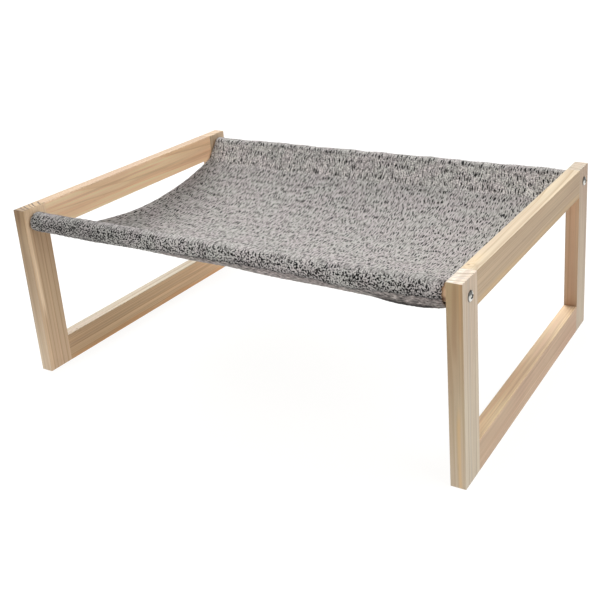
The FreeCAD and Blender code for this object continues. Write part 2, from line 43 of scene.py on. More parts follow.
# ------------------------------------------------------------------ shader graphs
class Graph:
    """A Principled material and short names for the nodes that feed it."""

    def __init__(self, name):
        self.mat = bpy.data.materials.new(name)
        self.mat.use_nodes = True
        self.nt = self.mat.node_tree
        self.nt.nodes.clear()
        out = self.nt.nodes.new("ShaderNodeOutputMaterial")
        self.bsdf = self.nt.nodes.new("ShaderNodeBsdfPrincipled")
        self.nt.links.new(self.bsdf.outputs[0], out.inputs[0])
        self._object = None
        self._normal = None

    def put(self, socket, value):
        if isinstance(value, bpy.types.NodeSocket):
            self.nt.links.new(value, socket)
        elif hasattr(value, "__len__") and socket.type == "RGBA" and len(value) == 3:
            socket.default_value = (*value, 1.0)
        else:
            socket.default_value = value

    def set(self, **sockets):
        for name, value in sockets.items():
            self.put(self.bsdf.inputs[name.replace("_", " ")], value)

    def math(self, op, a, b=None, c=None, clamp=False):
        n = self.nt.nodes.new("ShaderNodeMath")
        n.operation, n.use_clamp = op, clamp
        for s, v in zip(n.inputs, (a, b, c)):
            if v is not None:
                self.put(s, v)
        return n.outputs[0]

    def vec(self, op, a, b=None, scale=None):
        n = self.nt.nodes.new("ShaderNodeVectorMath")
        n.operation = op
        self.put(n.inputs[0], a)
        if b is not None:
            self.put(n.inputs[1], b)
        if scale is not None:
            self.put(n.inputs["Scale"], scale)
        return n.outputs["Value"] if op in ("LENGTH", "DOT_PRODUCT") else n.outputs[0]

    def xyz(self, v):
        n = self.nt.nodes.new("ShaderNodeSeparateXYZ")
        self.put(n.inputs[0], v)
        return n.outputs

    def join(self, x, y, z=0.0):
        n = self.nt.nodes.new("ShaderNodeCombineXYZ")
        for s, v in zip(n.inputs, (x, y, z)):
            self.put(s, v)
        return n.outputs[0]

    @property
    def object(self):
        if self._object is None:
            self._object = self.nt.nodes.new("ShaderNodeTexCoord").outputs["Object"]
        return self._object

    @property
    def normal(self):
        if self._normal is None:
            self._normal = self.nt.nodes.new("ShaderNodeNewGeometry").outputs["Normal"]
        return self._normal

    def uv(self, name):
        n = self.nt.nodes.new("ShaderNodeUVMap")
        n.uv_map = name
        return n.outputs[0]

    def attribute(self, name):
        n = self.nt.nodes.new("ShaderNodeAttribute")
        n.attribute_name = name
        return n.outputs["Fac"]

    def noise(self, v, scale, detail=2.0, rough=0.5, dims="3D", colour=False):
        n = self.nt.nodes.new("ShaderNodeTexNoise")
        n.noise_dimensions = dims
        self.put(n.inputs["W" if dims == "1D" else "Vector"], v)
        self.put(n.inputs["Scale"], scale)
        self.put(n.inputs["Detail"], detail)
        self.put(n.inputs["Roughness"], rough)
        return n.outputs["Color"] if colour else n.outputs[0]

    def white(self, w):
        n = self.nt.nodes.new("ShaderNodeTexWhiteNoise")
        n.noise_dimensions = "1D"
        self.put(n.inputs["W"], w)
        return n.outputs["Value"]

    def voronoi(self, v, scale, rand=1.0, feature="F1", dims="2D"):
        n = self.nt.nodes.new("ShaderNodeTexVoronoi")
        n.voronoi_dimensions, n.feature = dims, feature
        self.put(n.inputs["Vector"], v)
        self.put(n.inputs["Scale"], scale)
        self.put(n.inputs["Randomness"], rand)
        return n.outputs

    def ramp(self, fac, stops, kind="LINEAR"):
        n = self.nt.nodes.new("ShaderNodeValToRGB")
        n.color_ramp.interpolation = kind
        e = n.color_ramp.elements
        while len(e) < len(stops):
            e.new(0.5)
        for k, (at, value) in enumerate(stops):
            e[k].position = at
            e[k].color = (*value, 1.0) if hasattr(value, "__len__") else (value,) * 3 + (1.0,)
        self.put(n.inputs[0], fac)
        return n.outputs[0]

    def mix(self, fac, a, b, blend="MIX"):
        n = self.nt.nodes.new("ShaderNodeMix")
        n.data_type, n.blend_type = "RGBA", blend
        for k, v in ((0, fac), (6, a), (7, b)):
            self.put(n.inputs[k], v)
        return n.outputs[2]

    def span(self, v, a, b, c=0.0, d=1.0, kind="SMOOTHSTEP"):
        n = self.nt.nodes.new("ShaderNodeMapRange")
        n.interpolation_type = kind
        for s, x in zip(n.inputs, (v, a, b, c, d)):
            self.put(s, x)
        return n.outputs[0]

    def bump(self, height, strength, distance, normal=None):
        n = self.nt.nodes.new("ShaderNodeBump")
        self.put(n.inputs["Height"], height)
        n.inputs["Strength"].default_value = strength
        n.inputs["Distance"].default_value = distance
        if normal is not None:
            self.put(n.inputs["Normal"], normal)
        return n.outputs[0]


# ------------------------------------------------------------------ wood
PALE = (0.735, 0.585, 0.400)
STRAW = (0.690, 0.510, 0.310)
ROSE = (0.650, 0.460, 0.320)
LATE = (0.430, 0.262, 0.130)


def wood(name, along, pith, tilt=(0.0, 0.0), ring=0.005, seed=1.0, pale=PALE, patch=ROSE,
         late=LATE, contrast=0.8, patchy=0.5, wander=0.004, tint=(1.0, 1.0, 1.0), knots=(), face_tone_and_light=None, marks=(), ends=0.42):
    """Planed softwood. along is the axis that the grain follows, pith a point on the heart
    of the tree that this board was sawn from and tilt how far the heart leans from that axis.
    The growth rings are shells round it, so they are arcs on the end grain, straight lines
    on one pair of faces and cathedrals on the other. The tone of single faces by their
    outward axis is partly the board's own tone and partly painted light and shade: a face is
    made lighter or darker by the way it faces the light. A pair of tones runs from one end of
    the board to the other. marks are coloured streaks along the grain; a few of them are
    painted light and shade instead: a painted shadow band on the front rod's bare end and a
    painted lighter top on the left front leg."""
    g = Graph(name)
    across = [k for k in range(3) if k != along]
    axis = [0.0, 0.0, 0.0]
    axis[along] = 1.0
    axis[across[0]], axis[across[1]] = tilt
    axis = Vector(axis).normalized()
    slow = [1.0, 1.0, 1.0]
    slow[along] = 0.10
    fast = [1.0, 1.0, 1.0]
    fast[along] = 0.012
    P = g.object
    shifted = g.vec("ADD", P, (seed * 1.31, seed * 2.17, seed * 0.73))
    # the rings wander a little
    w = g.noise(g.vec("MULTIPLY", shifted, slow), 16.0, 2.0, 0.5, colour=True)
    w = g.vec("MULTIPLY", g.vec("SUBTRACT", w, (0.5, 0.5, 0.5)), (wander * 2.2,) * 3)
    d = g.vec("SUBTRACT", g.vec("ADD", P, w), pith)
    r = g.vec("LENGTH", g.vec("CROSS_PRODUCT", d, tuple(axis)))
    core = None
    for at, size in knots:
        away = g.vec("LENGTH", g.vec("SUBTRACT", P, at))
        swell = g.math("EXPONENT", g.math("MULTIPLY", g.math("POWER", g.math("DIVIDE", away, size * 2.6), 2.0), -1.0))
        r = g.math("ADD", r, g.math("MULTIPLY", swell, size * 1.6))
        spot = g.span(away, size * 0.55, size * 1.05, 1.0, 0.0)
        core = spot if core is None else g.math("MAXIMUM", core, spot)
    uneven = g.noise(g.math("ADD", g.math("DIVIDE", r, ring * 2.7), seed), 1.0, 1.0, dims="1D")
    phase = g.math("ADD", g.math("DIVIDE", r, ring), g.math("MULTIPLY", uneven, 2.2))
    part = g.math("FRACT", phase)
    year = g.math("SUBTRACT", phase, part)
    summer = g.ramp(part, [(0.0, 0.10), (0.30, 0.03), (0.62, 0.16), (0.84, 0.62), (0.93, 1.0), (0.975, 0.85), (1.0, 0.10)], "EASE")
    broader = g.ramp(part, [(0.0, 0.10), (0.15, 0.0), (0.56, 0.04), (0.70, 0.95), (0.88, 1.0), (0.97, 0.40), (1.0, 0.10)], "EASE")
    strong = g.span(g.white(g.math("ADD", year, seed)), 0.0, 1.0, 0.40, 1.0, "LINEAR")
    fade = g.span(g.noise(g.vec("MULTIPLY", shifted, slow), 9.0, 2.0), 0.30, 0.66, 0.45, 1.0)
    shade = g.math("MULTIPLY", g.math("MULTIPLY", summer, strong), g.math("MULTIPLY", fade, contrast))
    # fibres and short resin ducts
    fibre = g.noise(g.vec("MULTIPLY", shifted, fast), 1500.0, 2.0, 0.6)
    streak = g.noise(g.vec("MULTIPLY", shifted, fast), 330.0, 2.0, 0.55)
    duct_at = g.vec("MULTIPLY", shifted, [x if k != along else 0.045 for k, x in enumerate((1.0, 1.0, 1.0))])
    duct = g.span(g.noise(duct_at, 1100.0, 1.0, 0.5), 0.70, 0.78)
    # broad changes of tone
    broad = g.span(g.noise(g.vec("MULTIPLY", shifted, [0.3 if k == along else 1.0 for k in range(3)]), 13.0, 2.0, 0.5), 0.36, 0.66)
    colour = g.mix(g.math("MULTIPLY", broad, patchy), pale, patch)
    colour = g.mix(shade, colour, late)
    band = g.noise(g.vec("MULTIPLY", shifted, [0.05 if k == along else 1.0 for k in range(3)]), 95.0, 1.0, 0.5)
    # most marks are streaks in the wood; a few are painted light and shade
    for axis_no, centre, half, lo, hi, stain_and_painted_light, strength in marks:
        c = g.xyz(P)
        bend = g.noise(g.math("ADD", c[along], seed), 9.0, 1.0, dims="1D")
        off = g.math("ABSOLUTE", g.math("ADD", g.math("SUBTRACT", c[axis_no], centre), g.math("MULTIPLY", g.math("SUBTRACT", bend, 0.5), half * 1.6)))
        inside = g.math("MULTIPLY", g.span(c[along], lo - 0.02, lo + 0.02), g.span(c[along], hi - 0.02, hi + 0.02, 1.0, 0.0))
        inside = g.math("MULTIPLY", inside, g.span(off, half * 0.3, half * 1.5, 1.0, 0.0))
        grainy = g.math("ADD", 0.55, g.math("MULTIPLY", streak, 0.9))
        colour = g.mix(g.math("MULTIPLY", g.math("MULTIPLY", inside, strength), grainy, clamp=True), colour, stain_and_painted_light)
    level = g.math("ADD", g.math("MULTIPLY", fibre, 0.22), g.math("MULTIPLY", streak, 0.42))
    level = g.math("ADD", level, g.math("MULTIPLY", band, 0.26))
    level = g.math("ADD", level, 0.55)
    level = g.math("SUBTRACT", level, g.math("MULTIPLY", duct, 0.14))
    # cut ends soak up more light than planed faces and show their rings harder
    facing = g.math("ABSOLUTE", g.vec("DOT_PRODUCT", g.normal, tuple(axis)))
    end = g.span(facing, 0.62, 0.92)
    rings = g.math("MULTIPLY", g.math("MULTIPLY", broader, g.span(strong, 0.40, 1.0, 0.55, 1.0)), ends)
    colour = g.mix(g.math("MULTIPLY", end, rings, clamp=True), colour, tuple(0.42 * c for c in late))
    level = g.math("MULTIPLY", level, g.math("SUBTRACT", 1.0, g.math("MULTIPLY", end, 0.03)))
    colour = g.vec("MULTIPLY", colour, g.join(level, level, level))
    colour = g.vec("MULTIPLY", colour, tint)
    # painted light and shade, mixed with the board's own tone: each face is made lighter or darker by its outward axis
    for face, tone in (face_tone_and_light or {}).items():
        way = [0.0, 0.0, 0.0]
        way["xyz".index(face[1])] = 1.0 if face[0] == "+" else -1.0
        on = g.span(g.vec("DOT_PRODUCT", g.normal, tuple(way)), 0.45, 0.85)
        if len(tone) == 2:
            start, stop = (0.02, 0.24) if along == 2 else (-0.19, 0.19)
            tone = g.mix(g.span(g.xyz(P)[along], start, stop, 0.0, 1.0, "LINEAR"), *tone)
        colour = g.vec("MULTIPLY", colour, g.mix(on, (1.0, 1.0, 1.0), tone))
    if core is not None:
        colour = g.mix(g.math("MULTIPLY", core, 0.85), colour, (0.19, 0.095, 0.045))
    rough = g.math("ADD", g.math("MULTIPLY", fibre, 0.16), g.math("MULTIPLY", shade, -0.08))
    rough = g.math("ADD", rough, g.math("ADD", g.math("MULTIPLY", end, 0.12), 0.47))
    height = g.math("ADD", g.math("MULTIPLY", fibre, 0.45), g.math("MULTIPLY", shade, 0.35))
    height = g.math("ADD", height, g.math("MULTIPLY", streak, 0.35))
    height = g.math("SUBTRACT", height, g.math("MULTIPLY", duct, 0.5))
    g.set(Base_Color=colour, Roughness=rough, Normal=g.bump(height, 0.5, 0.00022))
    g.set(Specular_IOR_Level=0.32)
    return g.mat


BOARDS = {
    # Z is the grain of a leg, Y of a rail, X of a rod
    "left_front_leg": dict(along=2, pith=(-0.320, -0.174, 0.26), tilt=(0.003, -0.005), ring=0.0072, seed=1.3, contrast=1.00, ends=1.0, tint=(0.830, 0.790, 0.770),
        face_tone_and_light={"-y": ((1.16, 1.26, 1.37), (0.55, 0.485, 0.39)), "+x": ((1.16, 1.13, 1.09), (0.83, 0.74, 0.65)), "+z": (0.39, 0.33, 0.25)},
        # the last two marks are painted light: a lighter top on this leg, brighter than any wood
        marks=[(0, -0.3405, 0.0032, 0.19, 0.27, (0.44, 0.30, 0.19), 0.80), (0, -0.3435, 0.0020, -0.01, 0.13, (0.52, 0.37, 0.245), 0.55), (0, -0.3492, 0.0008, 0.05, 0.27, (0.28, 0.19, 0.12), 0.7), (1, -0.2345, 0.0036, 0.10, 0.27, (1.0, 0.84, 0.62), 0.85), (1, -0.2130, 0.0180, 0.244, 0.30, (1.40, 1.22, 0.95), 1.0), (1, -0.2000, 0.0140, 0.238, 0.30, (1.40, 1.22, 0.95), 1.0)]),
    "right_front_leg": dict(along=2, pith=(0.324, -0.166, 0.1), tilt=(0.004, 0.005), ring=0.0044, seed=4.1, contrast=0.84, tint=(0.830, 0.830, 0.850),
        face_tone_and_light={"-y": ((0.96, 0.99, 1.05), (0.76, 0.71, 0.56)), "+x": (1.04, 1.11, 1.20), "+z": (1.26, 1.50, 1.84)},
        marks=[(0, 0.3405, 0.0034, 0.17, 0.27, (0.54, 0.35, 0.22), 0.62), (0, 0.3470, 0.0022, 0.19, 0.27, (0.74, 0.46, 0.27), 0.5), (0, 0.3425, 0.0028, -0.01, 0.10, (0.84, 0.56, 0.27), 0.65), (1, -0.224, 0.0016, 0.0, 0.27, (0.52, 0.42, 0.32), 0.4)]),
    "left_rear_leg": dict(along=2, pith=(-0.395, 0.270, 0.1), tilt=(0.004, 0.01), ring=0.0052, seed=2.2, contrast=0.7, tint=(0.860, 0.820, 0.790)),
    "right_rear_leg": dict(along=2, pith=(0.300, 0.118, 0.1), tilt=(0.012, -0.004), ring=0.0046, seed=6.4, contrast=0.68, patchy=0.75, tint=(0.790, 0.780, 0.800),
        face_tone_and_light={"+x": ((0.97, 1.03, 1.09), (0.82, 0.80, 0.82)), "-y": (1.00, 0.86, 0.78), "+z": (1.02, 1.19, 1.38)},
        marks=[(0, 0.3400, 0.0060, 0.0, 0.27, (0.74, 0.50, 0.32), 0.45)]),
    "left_top_rail": dict(along=1, pith=(-0.402, 0.0, 0.262), tilt=(0.020, 0.010), ring=0.0042, seed=3.7, contrast=0.94, patchy=0.8, tint=(1.050, 0.930, 0.860),
        face_tone_and_light={"+z": (0.565, 0.535, 0.457), "+x": ((1.48, 1.60, 1.61), (1.37, 1.34, 1.29))},
        marks=[(2, 0.2330, 0.0040, -0.20, 0.20, (0.56, 0.36, 0.22), 0.55), (2, 0.2480, 0.0022, -0.20, 0.05, (0.52, 0.34, 0.21), 0.5), (2, 0.2200, 0.0030, -0.2, 0.2, (0.78, 0.58, 0.38), 0.5)]),
    "left_bottom_rail": dict(along=1, pith=(-0.352, 0.0, 0.118), tilt=(0.010, 0.006), ring=0.0050, seed=8.8, contrast=1.00, patchy=0.45, knots=[((-0.3335, -0.176, 0.0425), 0.0022)], tint=(0.820, 0.790, 0.750),
        face_tone_and_light={"+x": ((1.00, 0.91, 0.80), (1.36, 1.20, 1.09)), "+z": (0.78, 0.875, 0.96)},
        marks=[(2, 0.0030, 0.0050, -0.2, 0.2, (0.70, 0.43, 0.22), 0.75), (2, 0.0250, 0.0016, -0.2, 0.2, (0.46, 0.33, 0.22), 0.5), (0, -0.338, 0.003, -0.2, -0.11, (0.74, 0.55, 0.43), 0.5)]),
    "right_top_rail": dict(along=1, pith=(0.318, 0.0, 0.176), tilt=(0.026, -0.016), ring=0.0040, seed=5.5, contrast=0.84, patchy=0.45, knots=[((0.335, -0.186, 0.262), 0.003)], tint=(0.780, 0.780, 0.770),
        face_tone_and_light={"+z": (0.984, 1.027, 1.07), "+x": ((0.92, 0.85, 0.81), (0.81, 0.75, 0.70))},
        marks=[(2, 0.2215, 0.0044, -0.2, 0.2, (0.82, 0.60, 0.33), 0.6), (0, 0.3370, 0.0060, -0.2, -0.155, (0.86, 0.62, 0.36), 0.55), (2, 0.2400, 0.0014, -0.12, 0.2, (0.48, 0.36, 0.25), 0.45)]),
    "right_bottom_rail": dict(along=1, pith=(0.286, 0.0, 0.065), tilt=(0.016, 0.022), ring=0.0046, seed=7.9, contrast=0.62, patchy=0.9, tint=(0.980, 0.940, 0.900),
        face_tone_and_light={"+x": (0.81, 0.755, 0.755), "+z": ((1.38, 1.39, 1.36), (1.08, 1.09, 1.06))},
        marks=[(0, 0.3360, 0.0018, -0.2, 0.02, (0.58, 0.38, 0.25), 0.5), (0, 0.3440, 0.0014, -0.1, 0.2, (0.58, 0.38, 0.25), 0.5), (0, 0.3400, 0.0030, 0.02, 0.15, (0.74, 0.52, 0.40), 0.5)]),
    "front_rod": dict(along=0, pith=(0.0, -0.205, 0.225), tilt=(0.01, 0.01), ring=0.0030, seed=9.3, pale=(0.60, 0.42, 0.27), patch=(0.56, 0.37, 0.24), contrast=0.6,
        # painted shade: a dark band on the lower half of the rod's bare right end
        marks=[(2, 0.2335, 0.0036, 0.30, 0.34, (0.20, 0.105, 0.055), 0.95)]),
    "rear_rod": dict(along=0, pith=(0.0, 0.232, 0.252), tilt=(0.01, -0.01), ring=0.0030, seed=10.7, pale=(0.60, 0.42, 0.27), patch=(0.56, 0.37, 0.24), contrast=0.6),
}
for node, facts in BOARDS.items():
    made = wood("pine_" + node, **facts)
    for s in N[node].material_slots:
        s.material = made

beech = wood("beech_pins", along=1, pith=(0.31, 0.0, 0.09), ring=0.0016, seed=11.0, pale=(0.60, 0.42, 0.27),
             patch=(0.62, 0.45, 0.30), late=(0.42, 0.25, 0.14), contrast=0.45, wander=0.001)
for node in N:
    if node.endswith("_dowels"):
        for s in N[node].material_slots:
            s.material = beech


# ------------------------------------------------------------------ metal
def zinc(name, colour, rough, seed, head=False):
    g = Graph(name)
    P = g.vec("ADD", g.object, (seed, seed, seed))
    cloud = g.noise(P, 420.0, 3.0, 0.6)
    fine = g.noise(P, 2600.0, 2.0, 0.6)
    level = g.math("ADD", g.math("MULTIPLY", cloud, 0.16), 0.90)
    rough = g.math("ADD", g.math("MULTIPLY", cloud, 0.20), rough)
    if head:
        x, y, z = g.xyz(g.object)
        x, y = g.math("ABSOLUTE", x), g.math("SUBTRACT", g.math("ABSOLUTE", y), 0.219)
        r = g.vec("LENGTH", g.join(y, g.math("SUBTRACT", z, 0.238), 0.0))
        dome = g.math("SUBTRACT", 0.3532, g.math("MULTIPLY", g.math("POWER", g.math("DIVIDE", r, 0.0067), 2.0), 0.0024))
        # painted shade: the cross recess in the head is darkened
        inside = g.math("MULTIPLY", g.span(g.math("SUBTRACT", dome, x), 0.00010, 0.00035), g.span(r, 0.0042, 0.0050, 1.0, 0.0))
        level = g.math("MULTIPLY", level, g.math("SUBTRACT", 1.0, g.math("MULTIPLY", inside, 0.88)))
        # painted reflection: the lower half of the dome is lighter and the upper half darker
        facing = g.xyz(g.normal)[2]
        level = g.math("MULTIPLY", level, g.span(facing, -0.40, 0.45, 1.15, 0.80))
        # painted shade: a dark ring round the edge of the head
        level = g.math("MULTIPLY", level, g.span(r, 0.0056, 0.0066, 1.0, 0.40))
        rough = g.math("ADD", rough, g.math("MULTIPLY", inside, 0.35))
    g.set(
        Base_Color=g.vec("MULTIPLY", colour, g.join(level, level, level)),
        Metallic=1.0,
        Roughness=rough,
        Normal=g.bump(g.math("ADD", g.math("MULTIPLY", cloud, 0.6), fine), 0.25, 0.00006),
    )
    return g.mat


bright = zinc("zinc_plate", (0.66, 0.655, 0.62), 0.20, 3.0, head=True)
dull = zinc("zinc_alloy", (0.62, 0.61, 0.58), 0.30, 5.0)
for node in N:
    if node.endswith("_screw") or node.endswith("_insert"):
        for s in N[node].material_slots:
            s.material = bright if node.endswith("_screw") else dull


# ------------------------------------------------------------------ the sling's shape
A, ZR = 0.219, 0.238        # rod axes at y = -A and A
RO = 0.0140                 # pile side of the cloth round a rod
THICK = 0.0026
XL, XR = -0.3280, 0.3246    # the two side edges
YC, CREASE = 0.2092, 0.010  # where the belly's arc would meet a rod's sleeve
Y1 = 0.1830                 # the belly's arc ends here and turns up into the sleeve
SEAM = 0.1890               # the sleeve seam, under the crease
DEEP = 0.0044               # both layers drawn together at the seam
LEAVE = math.radians(145)   # the cloth leaves the rod's inner side here
TURN = math.radians(-40)    # and hangs free of its outer side from here
TAIL = 0.009                # folded end beyond the seam
HEM = 0.015
SIGHT = 0.40


def smooth(t, a, b):
    t = np.clip((t - a) / (b - a), 0.0, 1.0)
    return t * t * (3 - 2 * t)


def sag_at(x):
    q = (np.asarray(x, float) / 0.326) ** 2
    even = 68.0 - 17.804 * q + 41.132 * q**2 - 43.327 * q**3
    return (even - 3.5 * smooth(np.asarray(x, float), 0.255, 0.326)) * 1e-3


def waves(x, terms):
    return sum(a * np.sin(2 * np.pi * (x / length + phase)) for a, length, phase in terms)


def arc(s):
    h = s - CREASE
    R = (YC * YC + h * h) / (2 * h)
    return R, ZR - s + R


def bezier(p0, p1, p2, p3, t):
    u = 1 - t
    y, z = (u**3 * a + 3 * u * u * t * b + 3 * u * t * t * c + t**3 * d for a, b, c, d in zip(p0, p1, p2, p3))
    dy, dz = (u * u * (b - a) + 2 * u * t * (c - b) + t * t * (d - c) for a, b, c, d in zip(p0, p1, p2, p3))
    L = np.hypot(dy, dz)
    return y, z, -dz / L, dy / L


def lower_path(s, hang, t):
    """The lower layer of a sleeve from the rod's outer side to the seam. hang is 0 where it
    is drawn tight under the rod and about 2 where it hangs 10 mm lower."""
    R, zc = arc(s)
    phi = np.arcsin(SEAM / (R + DEEP))
    sy, sz = SEAM + 0 * s, zc - (R + DEEP) * np.cos(phi)
    qy, qz = A + RO * math.cos(TURN), ZR + RO * math.sin(TURN)
    m0 = 0.0092 + 0.0105 * hang
    m1 = 0.0125 + 0.0030 * hang
    beta = phi - 0.62 * hang
    p0 = (qy + 0 * s, qz + 0 * s)
    p1 = (qy + m0 * math.sin(TURN), qz - m0 * math.cos(TURN))
    p2 = (sy + m1 * np.cos(beta), sz + m1 * np.sin(beta))
    return bezier(p0, p1, p2, (sy, sz), t)


HANGS = np.linspace(0.0, 3.0, 61)
REACH = []
for value in HANGS:
    y, z, _, _ = lower_path(np.array(0.066), value, np.linspace(0, 1, 80))
    REACH.append(0.2217 - float(np.min(z - SIGHT * (y - 0.216))))
REACH = np.array(REACH)


def slack(x, front):
    """How far the lower layer of a sleeve hangs below its tightest, as a hang value."""
    if front:
        drop = np.interp(x, [-0.33, -0.28, -0.22, -0.17, -0.13, -0.10, -0.04, 0.02, 0.055, 0.09, 0.16, 0.195, 0.225, 0.255, 0.285, 0.305, 0.33],
                         [0.4, 0.9, 2.2, 1.0, 0.3, 1.2, 3.4, 2.6, 5.0, 6.4, 6.9, 7.8, 8.6, 10.2, 10.3, 7.8, 6.0]) * 1e-3
    else:
        drop = 0.0022 + 0.0016 * smooth(x, -0.30, -0.12) + waves(x, [(0.0010, 0.27, 0.35), (0.0005, 0.11, 0.8)])
    return np.interp(drop, REACH, HANGS)


# rows of the mesh along the cloth, from the front free end over both rods to the rear one
HALF_ROWS = [("belly", 50), ("wall", 13), ("sleeve", 17), ("lower", 20), ("tail", 4)]


def half_path(x, s, front, kind, t):
    """Points and outward normals of the pile side for one half, y taken positive towards the
    rod. t runs 0..1 away from the middle of the bed. x and s are columns, t a row."""
    R, zc = arc(s)
    phi_b = np.arcsin(Y1 / R)
    if kind == "belly":
        phi = phi_b * t
        return R * np.sin(phi), zc - R * np.cos(phi), -np.sin(phi), np.cos(phi)
    if kind == "wall":
        # up from the crease to the rod, slightly leaning
        by, bz = R * np.sin(phi_b), zc - R * np.cos(phi_b)
        c, n = np.cos(phi_b), np.sin(phi_b)
        ty, tz = A + RO * math.cos(LEAVE), ZR + RO * math.sin(LEAVE)
        uy, uz = math.sin(LEAVE), -math.cos(LEAVE)
        # the two tangents meet at the crease
        det = c * uz - n * uy
        a = ((ty - by) * uz - (tz - bz) * uy) / det
        b = ((ty - by) * n - (tz - bz) * c) / -det
        return bezier((by, bz), (by + 0.62 * a * c, bz + 0.62 * a * n),
                      (ty - 0.62 * b * uy, tz - 0.62 * b * uz), (ty + 0 * by, tz + 0 * by), t)
    if kind == "sleeve":
        th = LEAVE + (TURN - LEAVE) * t + 0 * s
        return A + RO * np.cos(th), ZR + RO * np.sin(th), np.cos(th), np.sin(th)
    if kind == "lower":
        y, z, ny, nz = lower_path(s, slack(x, front), t)
        if front:
            # towards the right the spare cloth lies in two long folds
            fold = smooth(x, 0.215, 0.25) * (1 - smooth(x, 0.308, 0.322))
            push = 0.0018 * np.exp(-((t - 0.50) / 0.09) ** 2) - 0.0024 * np.exp(-((t - 0.31 + 0.6 * (x - 0.27)) / 0.05) ** 2)
            push = push + 0.0012 * np.exp(-((t - 0.20) / 0.07) ** 2)
            y, z = y + ny * push * fold, z + nz * push * fold
        return y, z, ny, nz
    # the folded end follows the underside of the cloth
    phi = np.arcsin(SEAM / (R + DEEP)) - TAIL * t / (R + DEEP)
    deep = DEEP + 0.0006 * smooth(t, 0.0, 0.55)
    return (R + deep) * np.sin(phi), zc - (R + deep) * np.cos(phi), np.sin(phi), -np.cos(phi)


def rows():
    """(front, kind, t) for each row from the front free end to the rear free end."""
    half = [(kind, i / count) for kind, count in HALF_ROWS for i in range(1, count + 1)]
    ahead = [(True, k, t) for k, t in half]
    behind = [(False, k, t) for k, t in half]
    return ahead[::-1] + [(True, "belly", 0.0)] + behind


ROWS = rows()
NR = len(ROWS)


def surface(x):
    """Pile side points and normals, arrays of rows by columns, without relief."""
    s = sag_at(np.clip(x, -0.326, 0.326))
    pts, nrm = np.zeros((NR, len(x), 3)), np.zeros((NR, len(x), 3))
    for i, (front, kind, t) in enumerate(ROWS):
        y, z, ny, nz = half_path(x, s, front, kind, t)
        sign = -1.0 if front else 1.0
        pts[i] = np.stack([x, sign * y, z + 0 * x], 1)
        nrm[i] = np.stack([0 * x, sign * ny + 0 * x, nz + 0 * x], 1)
    return pts, nrm


def tufts(us, vs, pitch_u, pitch_v, jitter, seed):
    """Height of a field of pile tufts in staggered columns, 0 in the gaps to about 1, at the
    points of the grid us x vs."""
    r = np.random.default_rng(seed)
    nu = int((us[-1] - us[0]) / pitch_u) + 5
    nv = int((vs[-1] - vs[0]) / pitch_v) + 5
    cu = us[0] + (np.arange(nu)[None, :] - 2) * pitch_u
    cv = vs[0] + (np.arange(nv)[:, None] - 2) * pitch_v
    cu = cu + r.normal(0, jitter * pitch_u, (nv, nu))
    cv = cv + (np.arange(nu)[None, :] % 2) * 0.5 * pitch_v + r.normal(0, jitter * pitch_v, (nv, nu))
    tall = r.uniform(0.45, 1.0, (nv, nu))
    lu = pitch_u * r.uniform(0.40, 0.60, (nv, nu))
    lv = pitch_v * r.uniform(0.40, 0.66, (nv, nu))
    h = np.zeros((len(vs), len(us)))
    for c0, c1, a, b, k in zip(cu.ravel(), cv.ravel(), lu.ravel(), lv.ravel(), tall.ravel()):
        i0, i1 = np.searchsorted(us, (c0 - 1.5 * a, c0 + 1.5 * a))
        j0, j1 = np.searchsorted(vs, (c1 - 1.5 * b, c1 + 1.5 * b))
        if i0 >= i1 or j0 >= j1:
            continue
        du, dv = (us[i0:i1] - c0) / a, (vs[j0:j1] - c1) / b
        q = du[None, :] ** 2 + dv[:, None] ** 2
        bump = k * np.exp(-1.2 * q**1.4)
        h[j0:j1, i0:i1] = np.maximum(h[j0:j1, i0:i1], bump)
    return h


def new_mesh(name, verts, faces, smooth_faces=True):
    me = bpy.data.meshes.new(name)
    me.from_pydata([tuple(v) for v in verts], [], [tuple(f) for f in faces])
    me.validate()
    if smooth_faces:
        me.polygons.foreach_set("use_smooth", [True] * len(me.polygons))
    ob = bpy.data.objects.new(name, me)
    bpy.context.scene.collection.objects.link(ob)
    return ob


